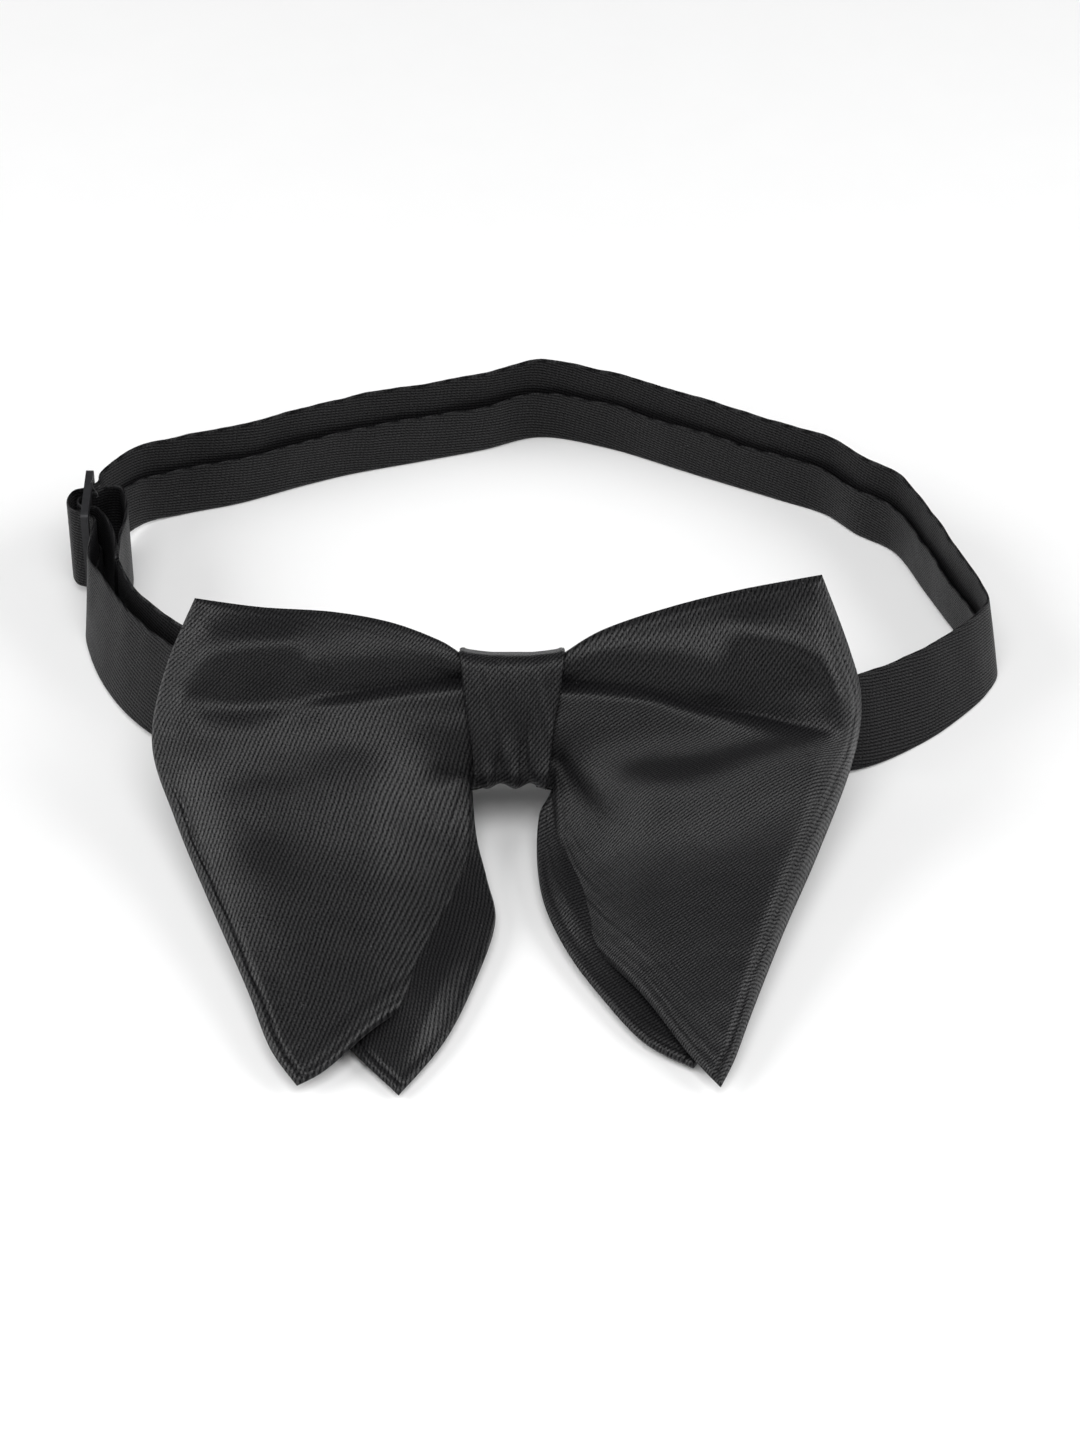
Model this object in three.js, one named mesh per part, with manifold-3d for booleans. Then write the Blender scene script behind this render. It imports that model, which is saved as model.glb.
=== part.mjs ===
// A pre-tied black satin bow tie lying on a table: a front bow and a rear bow, each with two long
// butterfly wings, gathered under a knot, on an adjustable neckband that closes with a hook and eye.
//
// Millimetres, +Z up. The origin is on the table, under the middle of the bow tie's footprint.
// +X runs along the bow, to the right of somebody who looks at its front, and the front faces -Y.
// Every place below is laid out from the point on the table straight below the middle of the knot,
// and the finished group is moved so that the origin comes to the middle of the footprint.
// Cloth is drawn as sheets of even thickness, with a small gap between neighbouring sheets, and it
// is divided where it bends, at the wings' roots, at the neckband's bend and at the slide.

import * as THREE from 'three';
import { mergeVertices } from 'three/addons/utils/BufferGeometryUtils.js';
import Module from 'manifold-3d';

const wasm = await Module();
wasm.setup();

// ---- driving dimensions -------------------------------------------------------------------------

const FOOTPRINT_MIDDLE = [3.23, 15.17]; // x and y from the point below the knot
const GAP = 0.3; // clear space between neighbouring pieces

const BAND_WIDTH = 20; // height of the neckband, which stands on its edge
const SHELL = 0.8; // one folded layer of the neckband's cloth
const LAP_HEIGHT = 12.5; // the inner fold of the neckband reaches this high
const LAP_STANDOFF = 1.1; // open space between the neckband and its inner fold
const PLY = 1; // thickness of the neckband where it is drawn as a plain strip
const SEWN_PLY = 0.7; // and at its sewn end
const TACK_DEPTH = 0.4; // a bar of stitching
const TACK_LENGTH = 14;

const KNOT_LEAN = 35; // degrees from upright, with the top leaning back
const KNOT_CENTRE = [-3.1, 21.6]; // y and z of the middle of the knot's hollow
const KNOT_HEIGHT = 26;
const KNOT_FRONT = 6.1; // from the middle of the hollow to the knot's front face
const KNOT_BACK = 7.1; // and to its back face
const KNOT_WALL = 1;
const KNOT_HALF_WIDTH_TOP = 10;
const KNOT_HALF_WIDTH_BOTTOM = 7;
const ROOT_GAP = 0.75; // from the knot's side to the root of a wing

const WING_SHEET = 0.8; // one panel of a wing
const SEAM_HALF = 0.95; // half the thickness of a wing along its sewn edge
const WING_COLUMNS = 12; // steps from the knot to the outer edge
const WING_ROWS = 9; // steps from the top edge to the inner edge
const PAD_FILL = 0.5; // the interlining takes up this much of the room between the panels

const SLIDE_CENTRE = [-86, 63.2]; // x and y of the slide's centre bar
const SLIDE_LENGTH = 15.5;
const SLIDE_HEIGHT = 24;
const SLIDE_THICKNESS = 1.5;
const SLIDE_BAR = 1.8;
const SLIDE_LIFT = 2; // the slide lifts the neckband this far off the table

const PLATE_CORNER = 1; // corner radius of the flat fittings
const FITTING_THICKNESS = 0.8; // sheet metal of the hook and of the eye
const FITTING_HEIGHT = 23;
const FITTING_BAR = 1.2;
const FITTING_SLOT = 2.6;
const WINDOW = [3.2, 12]; // the eye's opening, along the band and up
const TONGUE_LENGTH = 8;
const TONGUE_HEIGHT = 8;
const TAB_DEPTH = 2.6; // how far the hook's bent tab reaches through the eye

const CLOTH = { color: 0x0d0d0f, roughness: 0.55, metalness: 0 };
const LINING = { color: 0x2a2a2c, roughness: 0.95, metalness: 0 };
const THREAD = { color: 0x08080a, roughness: 0.7, metalness: 0 };
const COATED_METAL = { color: 0x0b0b0c, roughness: 0.35, metalness: 0.6 };

// ---- building solids ----------------------------------------------------------------------------

const bowTie = new THREE.Group();

function addPart(name, geometry, finish) {
  const mesh = new THREE.Mesh(geometry, new THREE.MeshStandardMaterial(finish));
  mesh.name = name;
  bowTie.add(mesh);
  return mesh;
}

function signedVolume(points, triangles) {
  let sum = 0;
  for (let i = 0; i < triangles.length; i += 3) {
    const [a, b, c] = [0, 1, 2].map((k) => points[triangles[i + k]]);
    sum += a.dot(b.clone().cross(c)) / 6;
  }
  return sum;
}

// A closed body from its points and triangles, turned so that every face points out.
function closedBody(points, triangles) {
  if (signedVolume(points, triangles) < 0) triangles.reverse();
  const geometry = new THREE.BufferGeometry().setFromPoints(points);
  geometry.setIndex(triangles);
  geometry.computeVertexNormals();
  return geometry;
}

function quad(a, b, c, d) {
  return [a, b, c, a, c, d];
}

// Skins a row of outlines that all have the same number of points. The row either closes on
// itself, or ends in two flat caps cut by the triangles of the flat outline.
function loft(outlines, flatOutline, closesOnItself = false) {
  const count = outlines[0].length;
  const rows = outlines.length;
  const triangles = [];
  for (let r = 0; r < (closesOnItself ? rows : rows - 1); r += 1) {
    const next = (r + 1) % rows;
    for (let k = 0; k < count; k += 1) {
      const k2 = (k + 1) % count;
      triangles.push(...quad(r * count + k, r * count + k2, next * count + k2, next * count + k));
    }
  }
  if (!closesOnItself) {
    const last = (rows - 1) * count;
    for (const [a, b, c] of THREE.ShapeUtils.triangulateShape(flatOutline, [])) {
      triangles.push(a, c, b, last + a, last + b, last + c);
    }
  }
  return closedBody(outlines.flat(), triangles);
}

// A sheet between two grids of points, walled in around its rim.
function sheet(columns, rows, upper, lower) {
  const points = [];
  for (const side of [upper, lower]) {
    for (let i = 0; i <= columns; i += 1) {
      for (let j = 0; j <= rows; j += 1) points.push(side(i / columns, j / rows));
    }
  }
  const half = (columns + 1) * (rows + 1);
  const at = (i, j) => i * (rows + 1) + j;
  const triangles = [];
  for (let i = 0; i < columns; i += 1) {
    for (let j = 0; j < rows; j += 1) {
      const [a, b, c, d] = [at(i, j), at(i + 1, j), at(i + 1, j + 1), at(i, j + 1)];
      triangles.push(a, b, c, a, c, d);
      triangles.push(...[a, c, b, a, d, c].map((k) => k + half));
    }
  }
  const wall = (a, b) => triangles.push(...quad(a, a + half, b + half, b));
  for (let i = 0; i < columns; i += 1) {
    wall(at(i, 0), at(i + 1, 0));
    wall(at(i + 1, rows), at(i, rows));
  }
  for (let j = 0; j < rows; j += 1) {
    wall(at(0, j + 1), at(0, j));
    wall(at(columns, j), at(columns, j + 1));
  }
  return closedBody(points, triangles);
}

function toManifold(geometry) {
  const bare = geometry.clone();
  bare.deleteAttribute('normal');
  bare.deleteAttribute('uv');
  const merged = mergeVertices(bare);
  return new wasm.Manifold(new wasm.Mesh({
    numProp: 3,
    vertProperties: new Float32Array(merged.attributes.position.array),
    triVerts: new Uint32Array(merged.index.array),
  }));
}

function fromManifold(solid) {
  const mesh = solid.getMesh();
  const geometry = new THREE.BufferGeometry();
  geometry.setAttribute('position', new THREE.BufferAttribute(mesh.vertProperties, 3));
  geometry.setIndex(new THREE.BufferAttribute(mesh.triVerts, 1));
  geometry.computeVertexNormals();
  return geometry;
}

// ---- the neckband: a strip swept along a path that lies on the table ----------------------------

// A path is a list of [x, y, z, lean]: the foot of the strip, and how many degrees its top leans
// towards the neck.
function bandFrames(path, stations) {
  const feet = path.map(([x, y, z]) => new THREE.Vector3(x, y, z));
  const leans = path.map(([, , , lean], i) => new THREE.Vector2(i, lean));
  const footCurve = new THREE.CatmullRomCurve3(feet, false, 'centripetal');
  const leanCurve = new THREE.SplineCurve(leans);
  return Array.from({ length: stations + 1 }, (_, i) => {
    const t = i / stations;
    const along = footCurve.getTangent(t).setZ(0).normalize();
    const inward = new THREE.Vector3(-along.y, along.x, 0);
    const lean = THREE.MathUtils.degToRad(leanCurve.getPoint(t).y);
    const up = inward.clone().multiplyScalar(Math.sin(lean)).setZ(Math.cos(lean));
    const inner = inward.clone().multiplyScalar(Math.cos(lean)).setZ(-Math.sin(lean));
    const foot = footCurve.getPoint(t);
    return { foot: foot.setZ(Math.max(foot.z, 0)), inner, up };
  });
}

// Carries a flat outline [depth towards the neck, height] along the frames, with its lowest corner
// at the height of the path.
function carryOutline(frames, outline) {
  const flat = outline.map(([depth, height]) => new THREE.Vector2(depth, height));
  const rings = frames.map(({ foot, inner, up }) => {
    const lift = Math.max(...flat.map((p) => -p.x * inner.z));
    const base = foot.clone().setZ(foot.z + lift);
    return flat.map((p) => base.clone().addScaledVector(inner, p.x).addScaledVector(up, p.y));
  });
  return loft(rings, flat);
}

function sweepBand(path, stations, outline) {
  return carryOutline(bandFrames(path, stations), outline);
}

function stripOutline(from, to, low = 0, high = BAND_WIDTH) {
  return [[from, low], [to, low], [to, high], [from, high]];
}

// The neckband's cloth is folded up at its foot, and the inner fold stands free at its top edge.
function foldedOutline(standoff) {
  const inner = SHELL / 2 + standoff;
  return [
    [-SHELL / 2, 0], [inner + SHELL, 0], [inner + SHELL, LAP_HEIGHT], [inner, LAP_HEIGHT],
    [inner, SHELL], [SHELL / 2, SHELL], [SHELL / 2, BAND_WIDTH], [-SHELL / 2, BAND_WIDTH],
  ];
}

// Both front ends of the neckband lie inside the back of the knot, where they lean with it.
const KNOT_FOOT = [-5.2, 10.2]; // y and z

const RIGHT_FRONT_PATH = [
  [0.6, ...KNOT_FOOT, KNOT_LEAN], [12, ...KNOT_FOOT, KNOT_LEAN], [19, -3.1, 8.4, 32],
  [28, -0.4, 6.2, 29], [40, 2, 3.6, 25], [54, 3.4, 1.6, 22], [67, 5, 0.6, 19], [81, 14, 0, 16],
  [89, 21.8, 0, 13], [94, 28.2, 0, 10],
];
const BACK_PATH = [
  [96.6, 34.5, 0, 8], [94, 40.5, 0, 5], [90, 48, 0, 2], [85, 60, 0, 0], [79, 74, 0, 0],
  [71.5, 80, 0, 0], [65.5, 86.5, 0, 0], [55, 92, 0, 0], [39, 100, 0, 0], [19, 110, 0, 0],
  [5, 113.5, 0, 0], [-7, 109, 0, 0], [-20, 105, 0, 0], [-35, 100.5, 0, 0], [-45, 96.5, 0, 0],
  [-58, 90.5, 0, 0], [-69, 87, 0, 0], [-77, 83.2, 0.6, 0],
];

function rightFrontBand() {
  return sweepBand(RIGHT_FRONT_PATH, 22, foldedOutline(0.3));
}

function backBand() {
  return sweepBand(BACK_PATH, 52, foldedOutline(LAP_STANDOFF));
}

// The interlining lies in the pocket between the neckband and its inner fold.
function interliningOutline(standoff) {
  const middle = (SHELL + standoff) / 2;
  return stripOutline(middle - 0.2, middle + 0.2, SHELL + GAP, LAP_HEIGHT - 0.6);
}

// ---- the slide, and the cloth that is threaded over its bars ------------------------------------

function roundedRectangle(width, height, radius) {
  const points = [];
  for (const [quarter, [x, y]] of [[1, 1], [-1, 1], [-1, -1], [1, -1]].entries()) {
    for (let k = 0; k <= 3; k += 1) {
      const a = ((quarter + k / 3) * Math.PI) / 2;
      const [cornerX, cornerY] = [x * (width / 2 - radius), y * (height / 2 - radius)];
      points.push(new THREE.Vector2(cornerX + radius * Math.cos(a), cornerY + radius * Math.sin(a)));
    }
  }
  return new THREE.Shape(points);
}

// A flat plate in the x-y plane, with openings [x, width, height] cut through it on its middle line.
function plate(width, height, thickness, openings) {
  const outline = roundedRectangle(width, height, PLATE_CORNER);
  const blank = new THREE.ExtrudeGeometry(outline, { depth: thickness, bevelEnabled: false });
  blank.translate(0, 0, -thickness / 2);
  return openings.reduce((solid, [x, slotWidth, slotHeight]) => {
    const cutter = new THREE.BoxGeometry(slotWidth, slotHeight, 3 * thickness);
    return solid.subtract(toManifold(cutter.translate(x, 0, 0)));
  }, toManifold(blank));
}

// Two side rails and three upright bars, with the band's two slots between them.
function slideFrame() {
  const slot = (SLIDE_LENGTH - 3 * SLIDE_BAR) / 2;
  const middle = (slot + SLIDE_BAR) / 2;
  const slots = [-middle, middle].map((x) => [x, slot, SLIDE_HEIGHT - 2 * SLIDE_BAR]);
  const solid = plate(SLIDE_LENGTH, SLIDE_HEIGHT, SLIDE_THICKNESS, slots);
  const geometry = fromManifold(solid);
  geometry.rotateX(Math.PI / 2);
  geometry.rotateZ(Math.PI / 2);
  return geometry.translate(...SLIDE_CENTRE, SLIDE_HEIGHT / 2);
}

// Plan points beside the slide, measured from its centre bar: outward is away from the neck.
function besideSlide(outward, forward, lean = 0) {
  const [x, y] = SLIDE_CENTRE;
  return [x - outward, y - forward, SLIDE_LIFT, lean];
}

// The band comes in from the back, bulges out over the centre bar and goes back in.
function loopOverBar() {
  const path = [
    besideSlide(-3.8, -12.2), besideSlide(-1.9, -8.8), besideSlide(-1.8, -6.4),
    besideSlide(0.2, -4.3), besideSlide(3, -3.1), besideSlide(4, 0), besideSlide(3, 2.7),
    besideSlide(0.2, 3.9), besideSlide(-1.8, 5.9), besideSlide(-1.8, 8), besideSlide(-1.7, 10),
  ];
  return sweepBand(path, 30, stripOutline(-PLY / 2, PLY / 2));
}

// The band's own end comes along the inner side, goes round the centre bar, and is hemmed and
// tacked back to itself.
function sewnEnd() {
  const path = [
    besideSlide(-8.2, 10.8), besideSlide(-8.4, 6), besideSlide(-7.9, 0), besideSlide(-6.2, -4.6),
    besideSlide(-3.6, -4.4), besideSlide(-1.4, -2.9), besideSlide(0.5, -2), besideSlide(1.8, -0.7),
    besideSlide(1.7, 1), besideSlide(0.3, 2), besideSlide(-1.8, 2.2), besideSlide(-3.9, 4.2),
    besideSlide(-5.4, 7), besideSlide(-6.2, 10),
  ];
  return sweepBand(path, 40, stripOutline(-SEWN_PLY / 2, SEWN_PLY / 2));
}

// A bar of stitching between the hemmed end and the run beside it.
function slideTack() {
  const geometry = new THREE.BoxGeometry(TACK_DEPTH, 1.6, TACK_LENGTH);
  const [x, y, z] = besideSlide(-7.25, 9.2);
  return geometry.translate(x, y, z + BAND_WIDTH / 2);
}

// ---- the hook, the eye and the cloth in their slots ----------------------------------------------

const EYE_X = -29; // middle of the eye's window along the band
const FITTING_FOOT = [-1.2, 6.6]; // y and z of the band's foot at the eye
const FITTING_LEAN = 30;
const HOOK_SETBACK = 1.4; // the hook's plate lies behind the eye's

// A foot point of the band beside the fittings: behind is towards the neck, square to the plates.
function besideFitting(x, behind) {
  const lean = THREE.MathUtils.degToRad(FITTING_LEAN);
  const [y, z] = FITTING_FOOT;
  return [x, y + behind * Math.cos(lean), z - behind * Math.sin(lean), FITTING_LEAN];
}

function placeFitting(solid, x, setback) {
  const geometry = fromManifold(solid);
  geometry.rotateX(Math.PI / 2);
  geometry.translate(0, setback, BAND_WIDTH / 2);
  geometry.rotateX(THREE.MathUtils.degToRad(-FITTING_LEAN));
  return geometry.translate(x, ...FITTING_FOOT);
}

const BAND_SLOT = [FITTING_SLOT, BAND_WIDTH + 2 * GAP];

function eyePlate() {
  const length = WINDOW[0] + FITTING_SLOT + 3 * FITTING_BAR;
  const windowX = FITTING_BAR + WINDOW[0] / 2 - length / 2;
  const slotX = length / 2 - FITTING_BAR - FITTING_SLOT / 2;
  const openings = [[windowX, ...WINDOW], [slotX, ...BAND_SLOT]];
  const solid = plate(length, FITTING_HEIGHT, FITTING_THICKNESS, openings);
  return placeFitting(solid, EYE_X - windowX, 0);
}

// The hook's tongue reaches behind the eye, and its bent tab goes forward through the window.
function hookPlate() {
  const frameLength = FITTING_SLOT + 2 * FITTING_BAR;
  const frame = plate(frameLength, FITTING_HEIGHT, FITTING_THICKNESS, [[0, ...BAND_SLOT]]);
  const tongueStart = frameLength / 2 - FITTING_BAR / 2;
  const tongue = new THREE.BoxGeometry(TONGUE_LENGTH, TONGUE_HEIGHT, FITTING_THICKNESS);
  tongue.translate(tongueStart + TONGUE_LENGTH / 2, 0, 0);
  const tab = new THREE.BoxGeometry(FITTING_THICKNESS, TONGUE_HEIGHT, TAB_DEPTH);
  const tabX = tongueStart + TONGUE_LENGTH - FITTING_THICKNESS / 2;
  tab.translate(tabX, 0, TAB_DEPTH / 2 - FITTING_THICKNESS / 2);
  const solid = frame.add(toManifold(tongue)).add(toManifold(tab));
  return placeFitting(solid, EYE_X - tabX, HOOK_SETBACK);
}

const HOOK_SLOT_X = EYE_X + (FITTING_THICKNESS - FITTING_BAR - FITTING_SLOT) / 2 - TONGUE_LENGTH;
const EYE_SLOT_X = EYE_X + WINDOW[0] / 2 + FITTING_BAR + FITTING_SLOT / 2;
const WRAP_RADIUS = FITTING_THICKNESS / 2 + GAP + PLY / 2; // of cloth folded round a bar

// The outer run passes through the hook's slot, turns, and comes back along the inner side.
function doubledRun() {
  const barEnd = HOOK_SLOT_X - FITTING_SLOT / 2;
  const outward = [
    [-86.2, 46.4, 0.6, 0], [-85.2, 40.5, 0.4, 4], [-81.8, 31, 0.3, 9], [-75.4, 20, 0.8, 14],
    [-66, 10.2, 1.6, 19], [-54, 2.8, 3.6, 24],
    besideFitting(barEnd - 5, HOOK_SETBACK - WRAP_RADIUS),
    besideFitting(barEnd - 2.5, HOOK_SETBACK - WRAP_RADIUS),
    besideFitting(barEnd, HOOK_SETBACK - WRAP_RADIUS),
  ];
  const back = [
    besideFitting(barEnd, HOOK_SETBACK + WRAP_RADIUS),
    besideFitting(barEnd - 2.5, HOOK_SETBACK + WRAP_RADIUS),
    besideFitting(barEnd - 5, HOOK_SETBACK + WRAP_RADIUS), [-54, 7.6, 3.2, 24], [-63, 16.8, 1.6, 19],
    [-70, 28, 1, 12], [-74.6, 38, 0.8, 7], [-76.8, 45.4, 0.8, 2],
  ];
  return sweepTurn(outward, back, besideFitting(barEnd + WRAP_RADIUS, HOOK_SETBACK));
}

// The short front end of the neckband, from the knot to the eye, folded back round the eye's bar.
function leftFrontBand() {
  const barEnd = EYE_SLOT_X + FITTING_SLOT / 2;
  const outward = [
    [-0.6, ...KNOT_FOOT, KNOT_LEAN], [-12, ...KNOT_FOOT, KNOT_LEAN], [-17, -3.9, 9, 33],
    besideFitting(barEnd + 2, -WRAP_RADIUS), besideFitting(barEnd, -WRAP_RADIUS),
  ];
  const back = [
    besideFitting(barEnd, WRAP_RADIUS), besideFitting(barEnd + 2, WRAP_RADIUS),
    [-17, -1.8, 7.7, 32], [-14.2, -2.8, 8.4, 33],
  ];
  return sweepTurn(outward, back, besideFitting(barEnd - WRAP_RADIUS, 0));
}

// A bar of stitching between the two layers of the short front end, beside the eye's bar.
function eyeTack() {
  const geometry = new THREE.BoxGeometry(1, TACK_DEPTH, TACK_LENGTH);
  geometry.translate(0, 0, BAND_WIDTH / 2);
  geometry.rotateX(THREE.MathUtils.degToRad(-FITTING_LEAN));
  return geometry.translate(EYE_SLOT_X + FITTING_SLOT / 2 + FITTING_BAR + 0.9, ...FITTING_FOOT);
}

// A strip that runs out along one path, turns back on itself round a point, and returns along
// another. Seen along the strip, each side of it keeps facing the same way as it turns.
function sweepTurn(outward, back, turn) {
  const facing = (path) => {
    const heading = Math.sign(path.at(-1)[0] - path[0][0]);
    return path.map(([x, y, z, lean]) => [x, y, z, heading * lean]);
  };
  const before = bandFrames(facing(outward), 24);
  const after = bandFrames(facing(back), 22);
  const frames = [...before, ...turnFrames(before.at(-1), after[0], turn), ...after];
  return carryOutline(frames, stripOutline(-PLY / 2, PLY / 2));
}

function turnFrames(start, end, turn) {
  const centre = start.foot.clone().add(end.foot).multiplyScalar(0.5);
  const reach = new THREE.Vector3(...turn).sub(centre);
  const side = start.foot.clone().sub(centre);
  return [30, 60, 90, 120, 150].map((degrees) => {
    const a = THREE.MathUtils.degToRad(degrees);
    const foot = centre.clone().addScaledVector(side, Math.cos(a)).addScaledVector(reach, Math.sin(a));
    const inner = start.inner.clone().applyAxisAngle(start.up, a * Math.sign(reach.x));
    return { foot, inner, up: start.up.clone() };
  });
}

// ---- the knot -----------------------------------------------------------------------------------

// A point from the middle of the knot's hollow: across the bow, up along the knot, and forward.
function inKnot(across, up, forward) {
  const lean = THREE.MathUtils.degToRad(KNOT_LEAN);
  return new THREE.Vector3(
    across,
    KNOT_CENTRE[0] + up * Math.sin(lean) - forward * Math.cos(lean),
    KNOT_CENTRE[1] + up * Math.cos(lean) + forward * Math.sin(lean),
  );
}

function knotHalfWidth(up) {
  const t = THREE.MathUtils.clamp(up / KNOT_HEIGHT + 0.5, 0, 1);
  return THREE.MathUtils.lerp(KNOT_HALF_WIDTH_BOTTOM, KNOT_HALF_WIDTH_TOP, t);
}

// A band that closes on itself round the knot's hollow. Its four corner arcs run from the front
// over the top to the back, and under the knot to the front again.
function wrapAround({ top, bottom, front, back, radius, wall, halfWidth }) {
  const corners = [
    [top - radius, front - radius, 0], [top - radius, -back + radius, 1],
    [-bottom + radius, -back + radius, 2], [-bottom + radius, front - radius, 3],
  ];
  const rings = [];
  for (const [up, forward, quarter] of corners) {
    for (let k = 0; k <= 4; k += 1) {
      const a = ((quarter + k / 4) * Math.PI) / 2;
      const direction = [Math.sin(a), Math.cos(a)];
      const point = (r, sign) => {
        const u = up + r * direction[0];
        return inKnot(sign * halfWidth(u), u, forward + r * direction[1]);
      };
      rings.push([point(radius - wall, -1), point(radius - wall, 1), point(radius, 1), point(radius, -1)]);
    }
  }
  return rings;
}

function knotWrap() {
  const rings = wrapAround({
    top: KNOT_HEIGHT / 2, bottom: KNOT_HEIGHT / 2, front: KNOT_FRONT, back: KNOT_BACK,
    radius: 3.2, wall: KNOT_WALL, halfWidth: knotHalfWidth,
  });
  return loft(rings, null, true);
}

function waistBinding() {
  const rings = wrapAround({
    top: 11.8, bottom: 11.8, front: 3.8, back: 2.9, radius: 1, wall: 0.45, halfWidth: () => 2,
  });
  return loft(rings, null, true);
}

// A flat pad inside the knot, as wide as the knot is at each height, less a margin at its sides.
function knotPad(forwardFrom, forwardTo, halfHeight, margin) {
  const upper = (i, j) => padPoint(i, j, forwardTo);
  const lower = (i, j) => padPoint(i, j, forwardFrom);
  function padPoint(i, j, forward) {
    const up = (1 - 2 * j) * halfHeight;
    return inKnot((2 * i - 1) * (knotHalfWidth(up) - margin), up, forward);
  }
  return sheet(4, 4, upper, lower);
}

// A bar of stitching that holds an end of the neckband to the back of the gathered bows.
function knotTack(across) {
  const geometry = new THREE.BoxGeometry(1.6, TACK_DEPTH, TACK_LENGTH);
  geometry.rotateX(THREE.MathUtils.degToRad(-KNOT_LEAN));
  return geometry.translate(...inKnot(across, 0, -3.3).toArray());
}

// ---- the wings ----------------------------------------------------------------------------------

// Side view of each bow: y and z of its seam from the top edge, past the knot, to the wing tips.
const FRONT_DRAPE = [
  [11, 50], [8, 45], [2, 34], [-5, 23.5], [-14, 15.8], [-30, 10.4], [-50, 7.6], [-70, 5.2], [-87, 2.6],
];
const REAR_DRAPE = [
  [12.6, 41], [10, 37.5], [4.5, 29], [-1, 20.5], [-9.4, 11.6], [-24, 5.0], [-45, 3.1], [-70, 2.1],
  [-90, 1.4],
];
const FRONT_KNOT_INDEX = 3;
const REAR_KNOT_INDEX = 3;

// Outlines of the wings laid flat: [across, down], measured from the middle of the knot.
// Each has a top edge and an inner edge that leave the knot, and an outer edge that joins them.
const LEFT_FRONT = {
  top: [[-9.6, -12], [-14, -14.6], [-23, -17.9], [-34, -19.9], [-47.5, -20.8], [-59.8, -22.5]],
  outer: [[-59.8, -22.5], [-65.7, -8.7], [-68.2, 5.5], [-63.4, 20.6], [-57.1, 37], [-48.2, 60],
    [-43.4, 73.6], [-38.2, 82]],
  inner: [[-7.4, 12.8], [-7.8, 29.3], [-10.4, 45.8], [-16.2, 58.6], [-26, 70.5], [-33, 78.4], [-38.2, 82]],
};
const RIGHT_FRONT = {
  top: [[9.6, -12], [17, -16.4], [29.1, -20.6], [42.8, -24.1], [58.4, -27]],
  outer: [[58.4, -27], [63.9, -12.6], [66.2, -3], [64.6, 8.4], [57.8, 27.1], [50.4, 46.5], [44, 65],
    [40.4, 76], [37.6, 82.4]],
  inner: [[7.4, 12.8], [9.4, 31.6], [14.5, 45.8], [23.5, 60.4], [31.4, 74], [37.6, 82.4]],
};
const LEFT_REAR = {
  top: [[-9.6, -10.6], [-22, -14], [-40, -15.6], [-57, -16.6]],
  outer: [[-57, -16.6], [-61, 2], [-57, 22], [-47, 46], [-34, 70], [-20, 88]],
  inner: [[-7.4, 12.2], [-6.6, 24], [-4.6, 34], [-3, 45], [-6.6, 60], [-12, 75], [-20, 88]],
};
const RIGHT_REAR = {
  top: [[9.6, -10.6], [22, -14], [40, -15.6], [57, -16.6]],
  outer: [[57, -16.6], [61, 2], [57, 22], [49, 46], [41, 68], [33, 81.4]],
  inner: [[7.4, 12.2], [7, 15.6], [5, 20], [4.7, 30], [6.2, 41], [10.3, 52.5], [16.3, 63.6], [24, 75],
    [33, 81.4]],
};

function flatCurve(points) {
  return new THREE.SplineCurve(points.map(([x, y]) => new THREE.Vector2(x, y)));
}

// A flat wing between its root, its top edge, its outer edge and its inner edge.
function wingPatch(outline) {
  const [top, outer, inner] = [outline.top, outline.outer, outline.inner].map(flatCurve);
  const rootTop = top.getPoint(0);
  const rootBottom = inner.getPoint(0);
  const corner = outer.getPoint(0);
  const tip = outer.getPoint(1);
  return (u, v) => {
    const root = rootTop.clone().lerp(rootBottom, v);
    const point = top.getPoint(u).multiplyScalar(1 - v).addScaledVector(inner.getPoint(u), v);
    point.addScaledVector(root, 1 - u).addScaledVector(outer.getPoint(v), u);
    point.addScaledVector(rootTop, -(1 - u) * (1 - v)).addScaledVector(rootBottom, -(1 - u) * v);
    return point.addScaledVector(corner, -u * (1 - v)).addScaledVector(tip, -u * v);
  };
}

// The draped surface: a place down the bow gives y, z and the way the surface faces.
function drapeSurface(points, knotIndex) {
  const curve = flatCurve(points);
  const steps = 200;
  const lengths = curve.getLengths(steps);
  const knotLength = lengths[Math.round((knotIndex / (points.length - 1)) * steps)];
  const total = lengths.at(-1);
  return (across, down, height) => {
    const t = THREE.MathUtils.clamp((knotLength + down) / total, 0, 1);
    const at = curve.getPointAt(t);
    const along = curve.getTangentAt(t);
    return new THREE.Vector3(across, at.x + along.y * height, at.y - along.x * height);
  };
}

// Fullness of a wing: none along its sewn edges, some at the root, most in the middle.
function fullness(u, v, root, puff) {
  const acrossWing = Math.sin(Math.PI * v) ** 0.6;
  return acrossWing * (root * (1 - u) ** 3 + puff * Math.sin(Math.PI * u ** 0.8) ** 0.8);
}

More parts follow.
